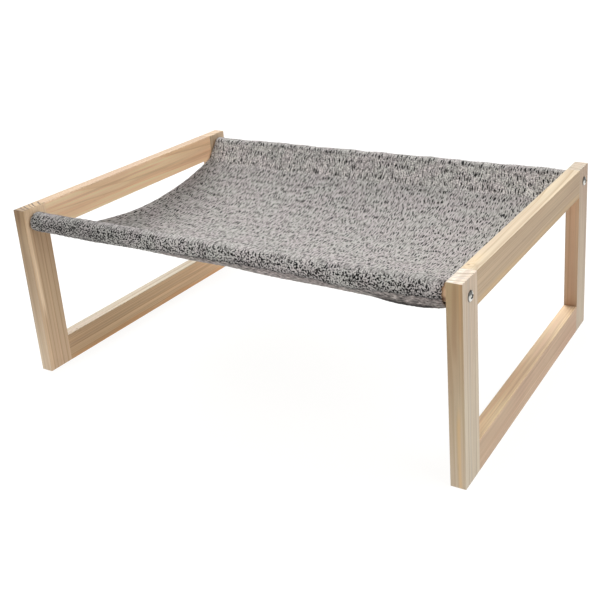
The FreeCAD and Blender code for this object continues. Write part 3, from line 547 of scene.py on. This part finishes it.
def make_sling():
    edge_cols = 4
    hem_cols = 5
    n_pile = 408
    n_back = 40
    lo, hi = XL + 0.0020, XR - 0.0020
    xs = np.linspace(lo, hi, n_pile)
    base, nrm = surface(xs)
    # length along the cloth at mid width, which is also the map's second axis
    mid = base[:, n_pile // 2]
    path = np.concatenate([[0], np.cumsum(np.linalg.norm(np.diff(mid, axis=0), axis=1))])
    kinds = np.array([k for _, k, _ in ROWS])
    front = np.array([f for f, _, _ in ROWS])
    tt = np.array([t for _, _, t in ROWS])
    # how far the pile is opened by the bend round a rod
    gape = np.zeros(NR)
    for i, (f, kind, t) in enumerate(ROWS):
        if kind == "belly":
            gape[i] = 0.16 * smooth(t, 0.94, 1.0)
        elif kind == "wall":
            gape[i] = 0.16
        elif kind == "sleeve":
            gape[i] = 0.16 - 0.08 * smooth(t, 0.0, 0.22) + 0.92 * smooth(t, 0.40, 0.66)
        elif kind == "lower":
            gape[i] = 1.0 - smooth(t, 0.05, 0.17)
    # relief of the pile: long tufts lying along the cloth
    big = tufts(xs, path, 0.0053, 0.0110, 0.16, 11)
    small = tufts(xs, path, 0.0037, 0.0066, 0.20, 12)
    relief = (0.62 * big + 0.38 * small - 0.52) * 0.0015
    calm = np.ones(NR)
    for i, (f, kind, t) in enumerate(ROWS):
        if kind == "tail":
            calm[i] = 0.35
        elif kind == "lower":
            calm[i] = 1.0 - 0.60 * smooth(t, 0.10, 0.5)
        elif kind == "belly":
            calm[i] = 0.16
        elif kind == "wall":
            calm[i] = 0.34
        elif kind == "sleeve":
            calm[i] = 0.34 + 0.06 * smooth(t, 0.0, 0.3) + 0.70 * smooth(t, 0.50, 0.78)
    relief *= calm[:, None]
    relief *= np.minimum(smooth(xs, XL, XL + 0.006), 1 - smooth(xs, XR - 0.006, XR))[None, :] * 0.6 + 0.4
    # long shallow undulations of the cloth itself
    belly = np.where(kinds == "belly", 1 - tt**6, 0.0)
    X, V = np.meshgrid(xs, mid[:, 1])
    drift = 0.0009 * np.sin(X * 21 + 1.3 + 4 * np.sin(V * 9)) * np.sin(V * 17 + 0.7) + 0.0006 * np.sin(X * 47 + V * 31)
    relief += drift * belly[:, None]
    # the sleeves aren't drawn up evenly either
    round_rod = np.where(kinds == "sleeve", np.sin(np.pi * tt) ** 0.5, 0.0)
    lumps = 0.00045 * np.sin(X * 58 + 2.0 * np.sin(X * 17)) + 0.00035 * np.sin(X * 131 + 1.0)
    relief += (lumps + 0.00045) * round_rod[:, None]
    top = base + nrm * relief[..., None]

    # hem thickness by row: none where the cloth lies on a rod
    hem = np.zeros(NR)
    for i, (f, kind, t) in enumerate(ROWS):
        if kind == "belly":
            hem[i] = 0.0018 * (1 - smooth(t, 0.88, 0.97))
    thick = np.full(NR, THICK)
    thick[kinds == "lower"] = THICK - 0.0007 * smooth(tt[kinds == "lower"], 0.6, 1.0)
    thick[kinds == "tail"] = 0.0018
    drawn = (kinds == "wall") * (1 - smooth(tt, 0.15, 0.6)) + (kinds == "belly") * smooth(tt, 0.95, 1.0)
    thick -= 0.0006 * drawn

    def column(x, depth):
        """A column of points at x, sunk by depth (one value per row) from the plain pile side."""
        p, n = surface(np.array([x]))
        return p[:, 0] - n[:, 0] * depth[:, None]

    cols, u_map, side = [], [], []      # side: 0 pile, 1 back
    for j in range(n_pile):
        cols.append(top[:, j])
        u_map.append(xs[j])
        side.append(0)
    total = thick + hem
    half = total / 2
    rag = lambda seed: 0.0006 * np.random.default_rng(seed).normal(0, 1, NR)
    right_wave = 0.0011 * np.sin(mid[:, 1] * 27 + 0.5) + 0.0007 * np.sin(mid[:, 1] * 71) + rag(21)
    left_wave = 0.0012 * np.sin(mid[:, 1] * 24 + 2.0) + 0.0008 * np.sin(mid[:, 1] * 63 + 1) + rag(22)
    for k in range(1, edge_cols + 1):
        a = math.pi / 2 - math.pi * k / (edge_cols + 1)
        reach = hi + 0.0020 * math.cos(a)
        c = column(reach, half * (1 - math.sin(a)))
        c[:, 0] += right_wave * math.cos(a)
        cols.append(c)
        u_map.append(hi + 0.0012 * k)
        side.append(0)
    for k in range(hem_cols):
        x = hi - (HEM - 0.002) * k / (hem_cols - 1)
        c = column(x, total + 0.00012 * np.random.default_rng(30 + k).normal(0, 1, NR))
        cols.append(c)
        u_map.append(hi + 0.0012 * (edge_cols + 1) + (HEM - 0.002) * k / (hem_cols - 1))
        side.append(0)
    xb = np.linspace(hi - HEM + 0.0014, lo + HEM - 0.0014, n_back)
    pb, nb = surface(xb)
    knit = 0.00018 * np.random.default_rng(41).normal(0, 1, (NR, n_back))
    pb = pb - nb * (thick[:, None] + knit)[..., None]
    for j in range(n_back):
        cols.append(pb[:, j])
        u_map.append(xb[j])
        side.append(1)
    for k in range(hem_cols):
        x = lo + (HEM - 0.002) * (1 - k / (hem_cols - 1))
        c = column(x, total + 0.00012 * np.random.default_rng(50 + k).normal(0, 1, NR))
        cols.append(c)
        u_map.append(lo - 0.0012 * (edge_cols + 1) - (HEM - 0.002) * (1 - k / (hem_cols - 1)))
        side.append(0)
    for k in range(1, edge_cols + 1):
        a = -math.pi / 2 + math.pi * k / (edge_cols + 1)
        reach = lo - 0.0020 * math.cos(a)
        c = column(reach, half * (1 - math.sin(a)))
        c[:, 0] += left_wave * -math.cos(a) * -1.0
        cols.append(c)
        u_map.append(lo - 0.0012 * (edge_cols + 1 - k))
        side.append(0)
    NC = len(cols)
    grid = np.stack(cols, 1)
    # at the right of the front rod the sleeve is pushed back and a little bare rod shows
    pushed = np.zeros(NR)
    for i, (f, kind, t) in enumerate(ROWS):
        if f and kind in ("sleeve", "wall", "lower"):
            pushed[i] = {"wall": smooth(t, 0.2, 1.0), "sleeve": 1.0, "lower": 1 - smooth(t, 0.1, 0.8)}[kind]
    grid[..., 0] -= 0.0040 * pushed[:, None] * smooth(grid[..., 0], XR - 0.045, XR)
    verts = grid.reshape(-1, 3)     # row-major: row * NC + column
    faces, mats, uvs, packed = [], [], [], []
    u_lo, u_hi = min(u_map), max(u_map)
    V0, V1 = path[0], path[-1]
    v_of = 0.008 + 0.984 * (path - V0) / (V1 - V0)
    pile_u = lambda u: 0.003 + 0.750 * (u - u_lo) / (u_hi - u_lo)
    back_u = lambda u: 0.762 + 0.235 * (u - XL) / (XR - XL)
    b0 = n_pile + edge_cols + hem_cols          # first backing column
    b1 = b0 + n_back                             # one past the last
    idx = np.arange(NR * NC).reshape(NR, NC)
    for j in range(NC):
        j2 = (j + 1) % NC
        back = b0 - 1 <= j < b1
        if back:
            ua, ub = u_map[j], u_map[j2]
            if j == b0 - 1:
                ua = u_map[b0] + 0.0012
            if j == b1 - 1:
                ub = u_map[b1 - 1] - 0.0012
            pa, pb_ = back_u(ua), back_u(ub)
        else:
            ua, ub = u_map[j], u_map[j2]
            pa, pb_ = pile_u(ua), pile_u(ub)
        for i in range(NR - 1):
            faces.append((idx[i, j], idx[i, j2], idx[i + 1, j2], idx[i + 1, j]))
            mats.append(1 if back else 0)
            uvs += [(ua, path[i]), (ub, path[i]), (ub, path[i + 1]), (ua, path[i + 1])]
            packed += [(pa, v_of[i]), (pb_, v_of[i]), (pb_, v_of[i + 1]), (pa, v_of[i + 1])]
    # close the two free ends between the pile row and the backing row
    for i, flip, v_a, v_b in ((0, True, 0.0010, 0.0050), (NR - 1, False, 0.9990, 0.9950)):
        upper = list(range(0, n_pile))
        lower = [j for j in list(range(NC - 1, n_pile - 1, -1))]
        a = b = 0
        ux = [verts[idx[i, j], 0] for j in upper]
        lx = [verts[idx[i, j], 0] for j in lower]
        while a < len(upper) - 1 or b < len(lower) - 1:
            step_a = b == len(lower) - 1 or (a < len(upper) - 1 and ux[a + 1] <= lx[b + 1])
            if step_a:
                tri = (idx[i, upper[a]], idx[i, upper[a + 1]], idx[i, lower[b]])
                q = [(ux[a], v_a), (ux[a + 1], v_a), (lx[b], v_b)]
                a += 1
            else:
                tri = (idx[i, upper[a]], idx[i, lower[b + 1]], idx[i, lower[b]])
                q = [(ux[a], v_a), (lx[b + 1], v_b), (lx[b], v_b)]
                b += 1
            if flip:
                tri, q = tri[::-1], q[::-1]
            faces.append(tri)
            mats.append(0)
            uvs += [(u, path[i] + (0.002 if v == v_b else 0.0)) for u, v in q]
            packed += [(0.003 + 0.99 * (u - XL) / (XR - XL), v) for u, v in q]
    ob = new_mesh("sling_cloth_visual", verts, faces)
    me = ob.data
    if len(me.polygons) != len(faces):
        raise RuntimeError(f"sling: {len(me.polygons)} faces of {len(faces)}")
    me.polygons.foreach_set("material_index", mats)
    for name, data in (("cloth", uvs), ("OFBake", packed)):
        layer = me.uv_layers.new(name=name)
        layer.data.foreach_set("uv", np.array(data, np.float32).ravel())
    me.uv_layers.active = me.uv_layers["cloth"]
    me.uv_layers["cloth"].active_render = True
    a = me.attributes.new("gape", "FLOAT", "POINT")
    # the left end of the front sleeve is bunched and more open
    spread = 1.0 + 0.45 * (1 - smooth(grid[..., 0], -0.20, 0.02)) * front[:, None] * (gape > 0.6)[:, None]
    a.data.foreach_set("value", (gape[:, None] * spread).ravel().astype(np.float32))
    gx = grid[..., 0]
    low = np.zeros((NR, NC))
    low[kinds == "tail"] = 1.0
    # distance along the cloth past the line where the lower layer starts to be pressed flat
    hang_of = np.where(front[:, None], slack(gx, True), slack(gx, False))
    starts = {f: np.mean([path[i] for i in range(NR - 1) if front[i] == f and front[i + 1] == f and {kinds[i], kinds[i + 1]} == {"sleeve", "lower"}]
                         + [path[i + 1] for i in range(NR - 1) if front[i] == f and front[i + 1] == f and {kinds[i], kinds[i + 1]} == {"sleeve", "lower"}]) for f in (True, False)}
    past = np.where(front, starts[True] - path, path - starts[False])
    at_front = np.interp(gx, [-0.33, -0.17, -0.13, -0.05, 0.05, 0.13, 0.165, 0.195, 0.225, 0.255, 0.29, 0.33],
                         [4.0, 4.0, 1.0, -5.0, -6.5, -5.5, -1.5, 2.5, -0.5, -4.0, -6.5, -7.5]) * 1e-3
    begin = np.where(front[:, None], at_front, -0.004) + 0.0007 * np.sin(gx * 190) + 0.0005 * np.sin(gx * 430 + 1.3)
    under = np.clip((past[:, None] - begin) * 1e3, -40, 40)
    loosely = smooth(hang_of, 0.10, 0.45)
    # painted shade: a thin dark line under each sleeve where its lower layer turns out of sight, a dark crescent and
    # dark fold lines at the right of the front sleeve, and a darker crease at the foot of each wall, over the seam
    TT = np.linspace(0, 1, 61)
    col_x = grid[0, :, 0]
    lowest = np.zeros((2, NC))
    for side_no, f in enumerate((False, True)):
        for j in range(NC):
            ly, lz, _, _ = lower_path(sag_at(col_x[j]), float(slack(col_x[j], f)), TT)
            lowest[side_no, j] = TT[int(np.argmin(lz - SIGHT * (ly - 0.216)))]
    painted_light_and_shade = np.zeros((NR, NC))
    for i, (f, kind, t) in enumerate(ROWS):
        if kind == "lower":
            hang_here = slack(gx[i], f)
            rim = lowest[int(f)]
            painted_light_and_shade[i] = 0.72 * smooth(t, rim - 0.11, rim - 0.03) * (1 - smooth(t, 0.85, 1.0)) * smooth(hang_here, 0.10, 0.45)
            if f:
                deep_rim = smooth(gx[i], 0.205, 0.235) * (1 - smooth(gx[i], 0.296, 0.312))
                painted_light_and_shade[i] = np.maximum(painted_light_and_shade[i], 1.15 * deep_rim * smooth(t, rim - 0.19, rim - 0.10) * (1 - smooth(t, 0.85, 1.0)))
            if f:
                along = np.clip((gx[i] - 0.205) / 0.110, 0, 1)
                fold = smooth(gx[i], 0.200, 0.225) * (1 - smooth(gx[i], 0.306, 0.322))
                first = 0.80 * np.exp(-((t - 0.04 - (rim - 0.20) * along ** 0.8) / 0.038) ** 2)
                second = 0.60 * np.exp(-((t + 0.05 - (rim - 0.14) * along) / 0.036) ** 2) * smooth(gx[i], 0.245, 0.275)
                painted_light_and_shade[i] = np.maximum(painted_light_and_shade[i], fold * np.maximum(first, second))
        elif kind == "wall":
            painted_light_and_shade[i] = 0.16 * np.exp(-((t - 0.16) / 0.12) ** 2)
    # painted shade darkens the bunched left end of the front sleeve as a whole
    ahead = (kinds == "sleeve") | ((kinds == "lower") & (tt < 0.5)) | (kinds == "wall")
    painted_light_and_shade = np.maximum(painted_light_and_shade, (0.40 * (1 - smooth(gx, -0.235, -0.03))) * (front & ahead)[:, None])
    # painted light: the inner wall of each sleeve is made lighter
    painted_light_and_shade[kinds == "wall"] -= 0.56
    # painted shade towards the right end of the front sleeve
    painted_light_and_shade += 0.14 * (smooth(gx, 0.17, 0.27) * (front & ahead)[:, None])
    # painted light on the inner upper side of each sleeve, up to its crest
    painted_light_and_shade[(kinds == "sleeve") & (tt < 0.35)] -= 0.08
    a = me.attributes.new("painted_light_and_shade", "FLOAT", "POINT")
    a.data.foreach_set("value", painted_light_and_shade.ravel().astype(np.float32))
    for name, data in (("low", low), ("under", under), ("loose", loosely)):
        a = me.attributes.new(name, "FLOAT", "POINT")
        a.data.foreach_set("value", data.ravel().astype(np.float32))
    return ob, path


sling, sling_path = make_sling()


# ------------------------------------------------------------------ cloth materials
def pile_material():
    g = Graph("grey_pile")
    uv = g.uv("cloth")
    gape, low = g.attribute("gape"), g.attribute("low")
    # the rows of tufts aren't ruled: they drift sideways by a millimetre or so
    drift = g.noise(uv, 60.0, 1.0, 0.5, dims="2D", colour=True)
    drift = g.vec("MULTIPLY", g.vec("SUBTRACT", drift, (0.5, 0.5, 0.5)), (0.0044, 0.0060, 0.0))
    at = g.vec("ADD", uv, drift)

    def gaps(across, along, shift, wide, power, strength, lit):
        """Dark gaps between tufts, one to a cell, each with its own strength and with light tips round it. The gaps are
        partly the yarn's dark flecks and partly painted shade between the tufts; the light tips are partly a painted
        highlight.
        """
        c = g.voronoi(g.vec("MULTIPLY", g.vec("ADD", at, shift), (1 / across, 1 / along, 0.0)), 1.0, 0.78)
        force = g.math("MULTIPLY", g.math("POWER", g.xyz(c["Color"])[1], power), strength)
        core = g.span(c["Distance"], wide * 0.6, wide * 1.4, 1.0, 0.0, "LINEAR")
        tips = g.math("MULTIPLY", g.span(c["Distance"], wide, wide * 1.6, 0.0, 1.0, "LINEAR"),
                      g.span(c["Distance"], wide * 1.6, wide + 0.33, lit, 0.0, "LINEAR"))
        return g.math("MULTIPLY", force, g.math("SUBTRACT", core, tips))

    # the lower layer of a sleeve is pressed flat: it starts at a ragged line under the rod
    ragged = g.noise(g.vec("MULTIPLY", uv, (1.0, 0.35, 0.0)), 330.0, 2.0, 0.6, dims="2D")
    under = g.math("ADD", g.attribute("under"), g.math("MULTIPLY", g.math("SUBTRACT", ragged, 0.5), 4.5))
    loosely = g.attribute("loose")
    low = g.math("MAXIMUM", low, g.math("MULTIPLY", g.span(under, 0.0, 2.0), loosely))
    shadow = g.math("MULTIPLY", g.math("MULTIPLY", g.span(under, -1.6, 0.3), g.span(under, 0.9, 2.6, 1.0, 0.0)), g.math("MULTIPLY", loosely, 0.66))
    shadow = g.math("ADD", shadow, g.math("MULTIPLY", g.math("MULTIPLY", g.span(under, -7.5, -2.0), g.span(under, 0.0, 1.2, 1.0, 0.0)), g.math("MULTIPLY", loosely, 0.34)))
    opened = g.math("MULTIPLY", gape, g.math("SUBTRACT", 1.0, low))
    # lying pile: fine strands along the cloth with dark gaps here and there
    strand = g.noise(g.vec("MULTIPLY", at, (1 / 0.00230, 1 / 0.0130, 0.0)), 1.0, 0.0, 0.5, dims="2D")
    lean = g.vec("MULTIPLY", g.join(g.xyz(at)[1], 0.0, 0.0), (0.10, 0.0, 0.0))
    at = g.vec("ADD", at, lean)
    deep = gaps(0.0052, 0.0190, (0.37, 0.11, 0.0), 0.175, 1.9, 1.85, 0.12)
    fine = gaps(0.0038, 0.0128, (0.13, 0.57, 0.0), 0.195, 1.1, 1.12, 0.20)
    lying = g.math("MULTIPLY", g.math("SUBTRACT", strand, 0.5), 1.00)
    lying = g.math("SUBTRACT", g.math("SUBTRACT", lying, deep), fine)
    lying = g.math("MINIMUM", g.math("ADD", lying, 0.145), 0.255)
    # pile opened by a bend: short curls with deep dark gaps between them, painted shade between the curls
    curl = g.noise(g.vec("MULTIPLY", uv, (1 / 0.0024, 1 / 0.0017, 0.0)), 1.0, 1.0, 0.5, dims="2D")
    wisp = g.noise(g.vec("MULTIPLY", at, (1 / 0.0016, 1 / 0.0021, 0.0)), 1.0, 0.0, 0.5, dims="2D")
    hole = g.voronoi(g.vec("MULTIPLY", at, (1 / 0.0050, 1 / 0.0044, 0.0)), 1.0, 1.0)
    hole_in = g.math("MULTIPLY", g.span(hole["Distance"], 0.12, 0.42, 1.0, 0.0), g.math("POWER", g.xyz(hole["Color"])[0], 0.8))
    standing = g.math("ADD", g.math("MULTIPLY", g.math("SUBTRACT", curl, 0.5), 3.20), g.math("MULTIPLY", g.math("SUBTRACT", wisp, 0.5), 2.90))
    standing = g.math("SUBTRACT", standing, g.math("MULTIPLY", hole_in, 1.90))
    clump = g.noise(g.vec("MULTIPLY", uv, (1.0, 1.6, 0.0)), 44.0, 1.0, 0.5, dims="2D")
    standing = g.math("SUBTRACT", standing, g.span(clump, 0.50, 0.68, -0.36, 0.06))
    standing = g.math("SUBTRACT", standing, g.span(opened, 0.9, 1.5, -0.09, 0.04))
    # the flat layer is combed and creased along the sleeve
    fibre = g.noise(g.vec("MULTIPLY", uv, (1 / 0.0085, 1 / 0.0019, 0.0)), 1.0, 1.0, 0.55, dims="2D")
    flat = g.math("SUBTRACT", g.math("MULTIPLY", g.math("SUBTRACT", fibre, 0.46), 1.9), g.math("MULTIPLY", hole_in, 0.42))
    lying = g.math("ADD", g.math("MULTIPLY", lying, g.math("SUBTRACT", 1.0, low)), g.math("MULTIPLY", flat, low))
    held = g.math("MINIMUM", opened, 1.0)
    loose = g.math("ADD", g.math("MULTIPLY", lying, g.math("SUBTRACT", 1.0, held)), g.math("MULTIPLY", standing, held))
    calm = g.math("SUBTRACT", 1.0, g.math("MULTIPLY", low, 0.30))
    height = g.math("ADD", 0.60, g.math("MULTIPLY", loose, calm), clamp=True)
    colour = g.ramp(height, [(0.0, (0.006, 0.006, 0.006)), (0.20, (0.028, 0.027, 0.026)), (0.42, (0.114, 0.108, 0.105)),
                             (0.60, (0.222, 0.211, 0.204)), (0.78, (0.316, 0.302, 0.293)), (1.0, (0.56, 0.54, 0.52))], "EASE")
    # painted light and shade from the cloth's attribute, with the painted shadow along the lower layer, scales the
    # colour
    painted_light_and_shade_level = g.math("SUBTRACT", 1.0, g.math("MULTIPLY", g.math("ADD", g.attribute("painted_light_and_shade"), shadow), 0.72))
    colour = g.vec("MULTIPLY", colour, g.join(painted_light_and_shade_level, painted_light_and_shade_level, painted_light_and_shade_level))
    patch = g.noise(uv, 26.0, 2.0, 0.5, dims="2D")
    hue = g.span(patch, 0.35, 0.65)
    colour = g.vec("MULTIPLY", colour, g.mix(hue, (0.985, 1.0, 0.985), (1.02, 0.99, 1.005)))
    warm = g.mix(g.span(low, 0.45, 0.9), (1.0, 1.0, 1.0), (1.03, 0.965, 0.945))
    g.set(Base_Color=g.vec("MULTIPLY", colour, warm), Roughness=0.92)
    g.set(Normal=g.bump(height, 0.8, 0.0006))
    g.set(Specular_IOR_Level=0.15, Sheen_Weight=0.10, Sheen_Roughness=0.6)
    return g.mat


def backing_material():
    g = Graph("knit_backing")
    uv = g.uv("cloth")
    drift = g.noise(uv, 60.0, 2.0, 0.5, dims="2D", colour=True)
    at = g.vec("ADD", uv, g.vec("MULTIPLY", g.vec("SUBTRACT", drift, (0.5, 0.5, 0.5)), (0.002, 0.002, 0.0)))
    u, v = g.xyz(at)[0], g.xyz(at)[1]
    # columns of knit stitches, each a pair of slanting legs
    col = g.math("DIVIDE", u, 0.0021)
    c = g.math("SUBTRACT", g.math("FRACT", col), 0.5)
    leg = g.math("ABSOLUTE", c)
    row = g.math("ADD", g.math("DIVIDE", v, 0.0016), g.math("MULTIPLY", leg, 1.1))
    rise = g.math("SINE", g.math("MULTIPLY", g.math("FRACT", row), math.pi))
    valley = g.span(leg, 0.0, 0.22)
    rib = g.math("MULTIPLY", g.math("MULTIPLY", rise, valley), g.span(leg, 0.5, 0.34))
    fuzz = g.noise(g.vec("MULTIPLY", uv, (1 / 0.0009, 1 / 0.0012, 0.0)), 1.0, 3.0, 0.6, dims="2D")
    patch = g.noise(uv, 22.0, 2.0, 0.5, dims="2D")
    height = g.math("ADD", g.math("MULTIPLY", rib, 0.75), g.math("MULTIPLY", fuzz, 0.35))
    colour = g.ramp(height, [(0.0, (0.075, 0.072, 0.070)), (0.45, (0.205, 0.195, 0.188)), (1.0, (0.36, 0.345, 0.33))])
    level = g.math("ADD", 0.88, g.math("MULTIPLY", patch, 0.24))
    g.set(Base_Color=g.vec("MULTIPLY", colour, g.join(level, level, level)), Roughness=0.9)
    g.set(Normal=g.bump(height, 0.8, 0.0006))
    g.set(Specular_IOR_Level=0.15, Sheen_Weight=0.08, Sheen_Roughness=0.6)
    return g.mat


def thread_material():
    g = Graph("grey_thread")
    P = g.object
    ply = g.noise(g.vec("MULTIPLY", P, (1.0, 1.0, 1.0)), 2200.0, 2.0, 0.6)
    colour = g.ramp(ply, [(0.25, (0.13, 0.125, 0.12)), (0.75, (0.30, 0.29, 0.28))])
    g.set(Base_Color=colour, Roughness=0.6, Normal=g.bump(ply, 0.5, 0.0001))
    return g.mat


sling.data.materials.append(pile_material())
sling.data.materials.append(backing_material())


# ------------------------------------------------------------------ stitching
def capsules(name, runs, radius, sides=8):
    """One mesh of stitches: each run is a list of points that a round thread follows, dipping
    into the cloth at both ends."""
    verts, faces = [], []
    for pts in runs:
        pts = np.asarray(pts, float)
        tang = np.gradient(pts, axis=0)
        tang /= np.linalg.norm(tang, axis=1)[:, None]
        ref = np.array([0.0, 0.0, 1.0]) if abs(tang[len(pts) // 2, 2]) < 0.8 else np.array([1.0, 0.0, 0.0])
        start = len(verts)
        for i, (p, t) in enumerate(zip(pts, tang)):
            a = np.cross(t, ref)
            a /= np.linalg.norm(a)
            b = np.cross(t, a)
            r = radius * (0.55 if i in (0, len(pts) - 1) else 1.0)
            for k in range(sides):
                w = 2 * math.pi * k / sides
                verts.append(p + r * (math.cos(w) * a + math.sin(w) * b))
        n = len(pts)
        for i in range(n - 1):
            for k in range(sides):
                k2 = (k + 1) % sides
                faces.append((start + i * sides + k, start + i * sides + k2, start + (i + 1) * sides + k2, start + (i + 1) * sides + k))
        faces.append(tuple(start + k for k in range(sides))[::-1])
        faces.append(tuple(start + (n - 1) * sides + k for k in range(sides)))
    return new_mesh(name, verts, faces)


def seam_runs(front):
    """Stitches along a sleeve seam, on the lower layer's outer face."""
    r = np.random.default_rng(61 if front else 62)
    pitch, long_ = 0.0036, 0.0029
    x = XL + 0.004
    sign = -1.0 if front else 1.0
    runs = []
    while x + long_ < XR - 0.004:
        xs = x + np.linspace(0, 1, 5) * long_
        s = sag_at(xs)
        y, z, ny, nz = half_path(xs, s, front, "tail", 0.12)
        lift = np.array([-0.0006, 0.0001, 0.00025, 0.0001, -0.0006]) + 0.00010
        side = r.normal(0, 0.00010)
        pts = np.stack([xs, sign * (y + ny * lift) + side, z + nz * lift], 1)
        runs.append(pts)
        x += pitch * (1 + r.normal(0, 0.03))
    return runs


def hem_runs(left):
    """Stitches along a side hem, on its lower face."""
    r = np.random.default_rng(63 if left else 64)
    x0 = XL + HEM - 0.0010 if left else XR - HEM + 0.0010
    R, zc = (float(v) for v in arc(sag_at(np.clip(x0, -0.326, 0.326))))
    runs = []
    end = (Y1 * 0.86) / R
    phi = -end
    step, long_ = 0.0036 / R, 0.0029 / R
    while phi + long_ < end:
        ph = phi + np.linspace(0, 1, 5) * long_
        lift = np.array([-0.0006, 0.0001, 0.00025, 0.0001, -0.0006])
        d = R + THICK + 0.0018 + lift
        pts = np.stack([np.full(5, x0 + r.normal(0, 0.00010)), d * np.sin(ph), zc - d * np.cos(ph)], 1)
        runs.append(pts)
        phi += step * (1 + r.normal(0, 0.03))
    return runs


thread = thread_material()
threads = []
for name, runs in (
    ("front_seam_thread", seam_runs(True)),
    ("rear_seam_thread", seam_runs(False)),
    ("left_hem_thread", hem_runs(True)),
    ("right_hem_thread", hem_runs(False)),
):
    ob = capsules(name, runs, 0.00038)
    ob.data.materials.append(thread)
    threads.append(ob)

for ob in (sling, *threads):
    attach(ob, "root")
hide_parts("sling_cloth")


# ------------------------------------------------------------------ floor, light, camera
def make_floor():
    n = 96
    rings = [0.0, 0.4, 0.8, 1.6, 3.2, 6.4, 12.8, 30.0]
    verts = [(0.0, 0.0, -0.0003)]
    for r in rings[1:]:
        verts += [(r * math.cos(2 * math.pi * k / n), r * math.sin(2 * math.pi * k / n), -0.0003) for k in range(n)]
    faces = [(0, 1 + k, 1 + (k + 1) % n) for k in range(n)]
    for i in range(len(rings) - 2):
        a, b = 1 + i * n, 1 + (i + 1) * n
        faces += [(a + k, b + k, b + (k + 1) % n, a + (k + 1) % n) for k in range(n)]
    ob = new_mesh("studio_floor", verts, faces, False)
    g = Graph("studio_floor")
    fine = g.noise(g.object, 900.0, 2.0)
    level = g.math("ADD", 0.12, g.math("MULTIPLY", fine, 0.02))
    g.set(Base_Color=g.join(level, level, level), Roughness=0.9, Specular_IOR_Level=0.1)
    g.set(Emission_Color=(1.0, 0.995, 0.985, 1.0), Emission_Strength=0.93)
    ob.data.materials.append(g.mat)
    return ob


make_floor()


def aim(ob, target):
    ob.rotation_mode = "QUATERNION"
    ob.rotation_quaternion = (Vector(target) - ob.location).to_track_quat("-Z", "Y")


def sun(name, towards, strength, angle, colour=(1, 1, 1)):
    data = bpy.data.lights.new(name, "SUN")
    data.energy, data.angle, data.color = strength, math.radians(angle), colour
    ob = bpy.data.objects.new(name, data)
    ob.location = Vector(towards).normalized() * 4
    aim(ob, (0, 0, 0))
    bpy.context.scene.collection.objects.link(ob)
    return ob


def from_sky(azimuth, elevation):
    a, e = math.radians(azimuth), math.radians(elevation)
    return (math.cos(a) * math.cos(e), math.sin(a) * math.cos(e), math.sin(e))


sun("key", from_sky(135, 42), 3.91, 45, (1.0, 0.985, 0.965))
sun("fill_right", from_sky(0, 42), 1.24, 45, (0.96, 1.0, 1.04))
sun("fill_above", from_sky(0, 66), 0.40, 45, (1.0, 1.0, 1.0))
sun("fill_left", from_sky(225, 42), 0.87, 45, (1.0, 0.98, 0.95))
sun("fill_front", from_sky(262, 30), 0.41, 45, (1.0, 0.975, 0.94))
sun("fill_rear", from_sky(45, 42), 0.14, 45, (1.0, 1.0, 1.0))

world = bpy.data.worlds.new("studio")
world.use_nodes = True
wn = world.node_tree
wn.nodes["Background"].inputs[0].default_value = (1.0, 1.0, 1.0, 1.0)
wn.nodes["Background"].inputs[1].default_value = 0.04
white = wn.nodes.new("ShaderNodeBackground")
white.inputs[0].default_value = (1.0, 1.0, 1.0, 1.0)
white.inputs[1].default_value = 1.05
seen = wn.nodes.new("ShaderNodeLightPath")
both = wn.nodes.new("ShaderNodeMixShader")
wn.links.new(seen.outputs["Is Camera Ray"], both.inputs[0])
wn.links.new(wn.nodes["Background"].outputs[0], both.inputs[1])
wn.links.new(white.outputs[0], both.inputs[2])
wn.links.new(both.outputs[0], wn.nodes["World Output"].inputs[0])
bpy.context.scene.world = world

az, el, roll = 0.55645, 0.32761, -0.06862
back = Vector((math.sin(az) * math.cos(el), -math.cos(az) * math.cos(el), math.sin(el)))
right = (-back).cross(Vector((0, 0, 1))).normalized()
up = right.cross(-back)
cam_x = math.cos(roll) * right + math.sin(roll) * up
cam_y = -math.sin(roll) * right + math.cos(roll) * up
data = bpy.data.cameras.new("camera")
data.sensor_width, data.lens = 36.0, 908.885 * 36.0 / 600.0
data.shift_x, data.shift_y = (300 - 330) / 600, (205 - 300) / 600
data.clip_start, data.clip_end = 0.05, 100.0
camera = bpy.data.objects.new("camera", data)
place = Matrix((cam_x, cam_y, back)).transposed().to_4x4()
place.translation = Vector((2.70868, -4.09601, 2.54495)) * 0.26
camera.matrix_world = place
bpy.context.scene.collection.objects.link(camera)
bpy.context.scene.camera = camera
bpy.context.scene.view_settings.view_transform = "Standard"
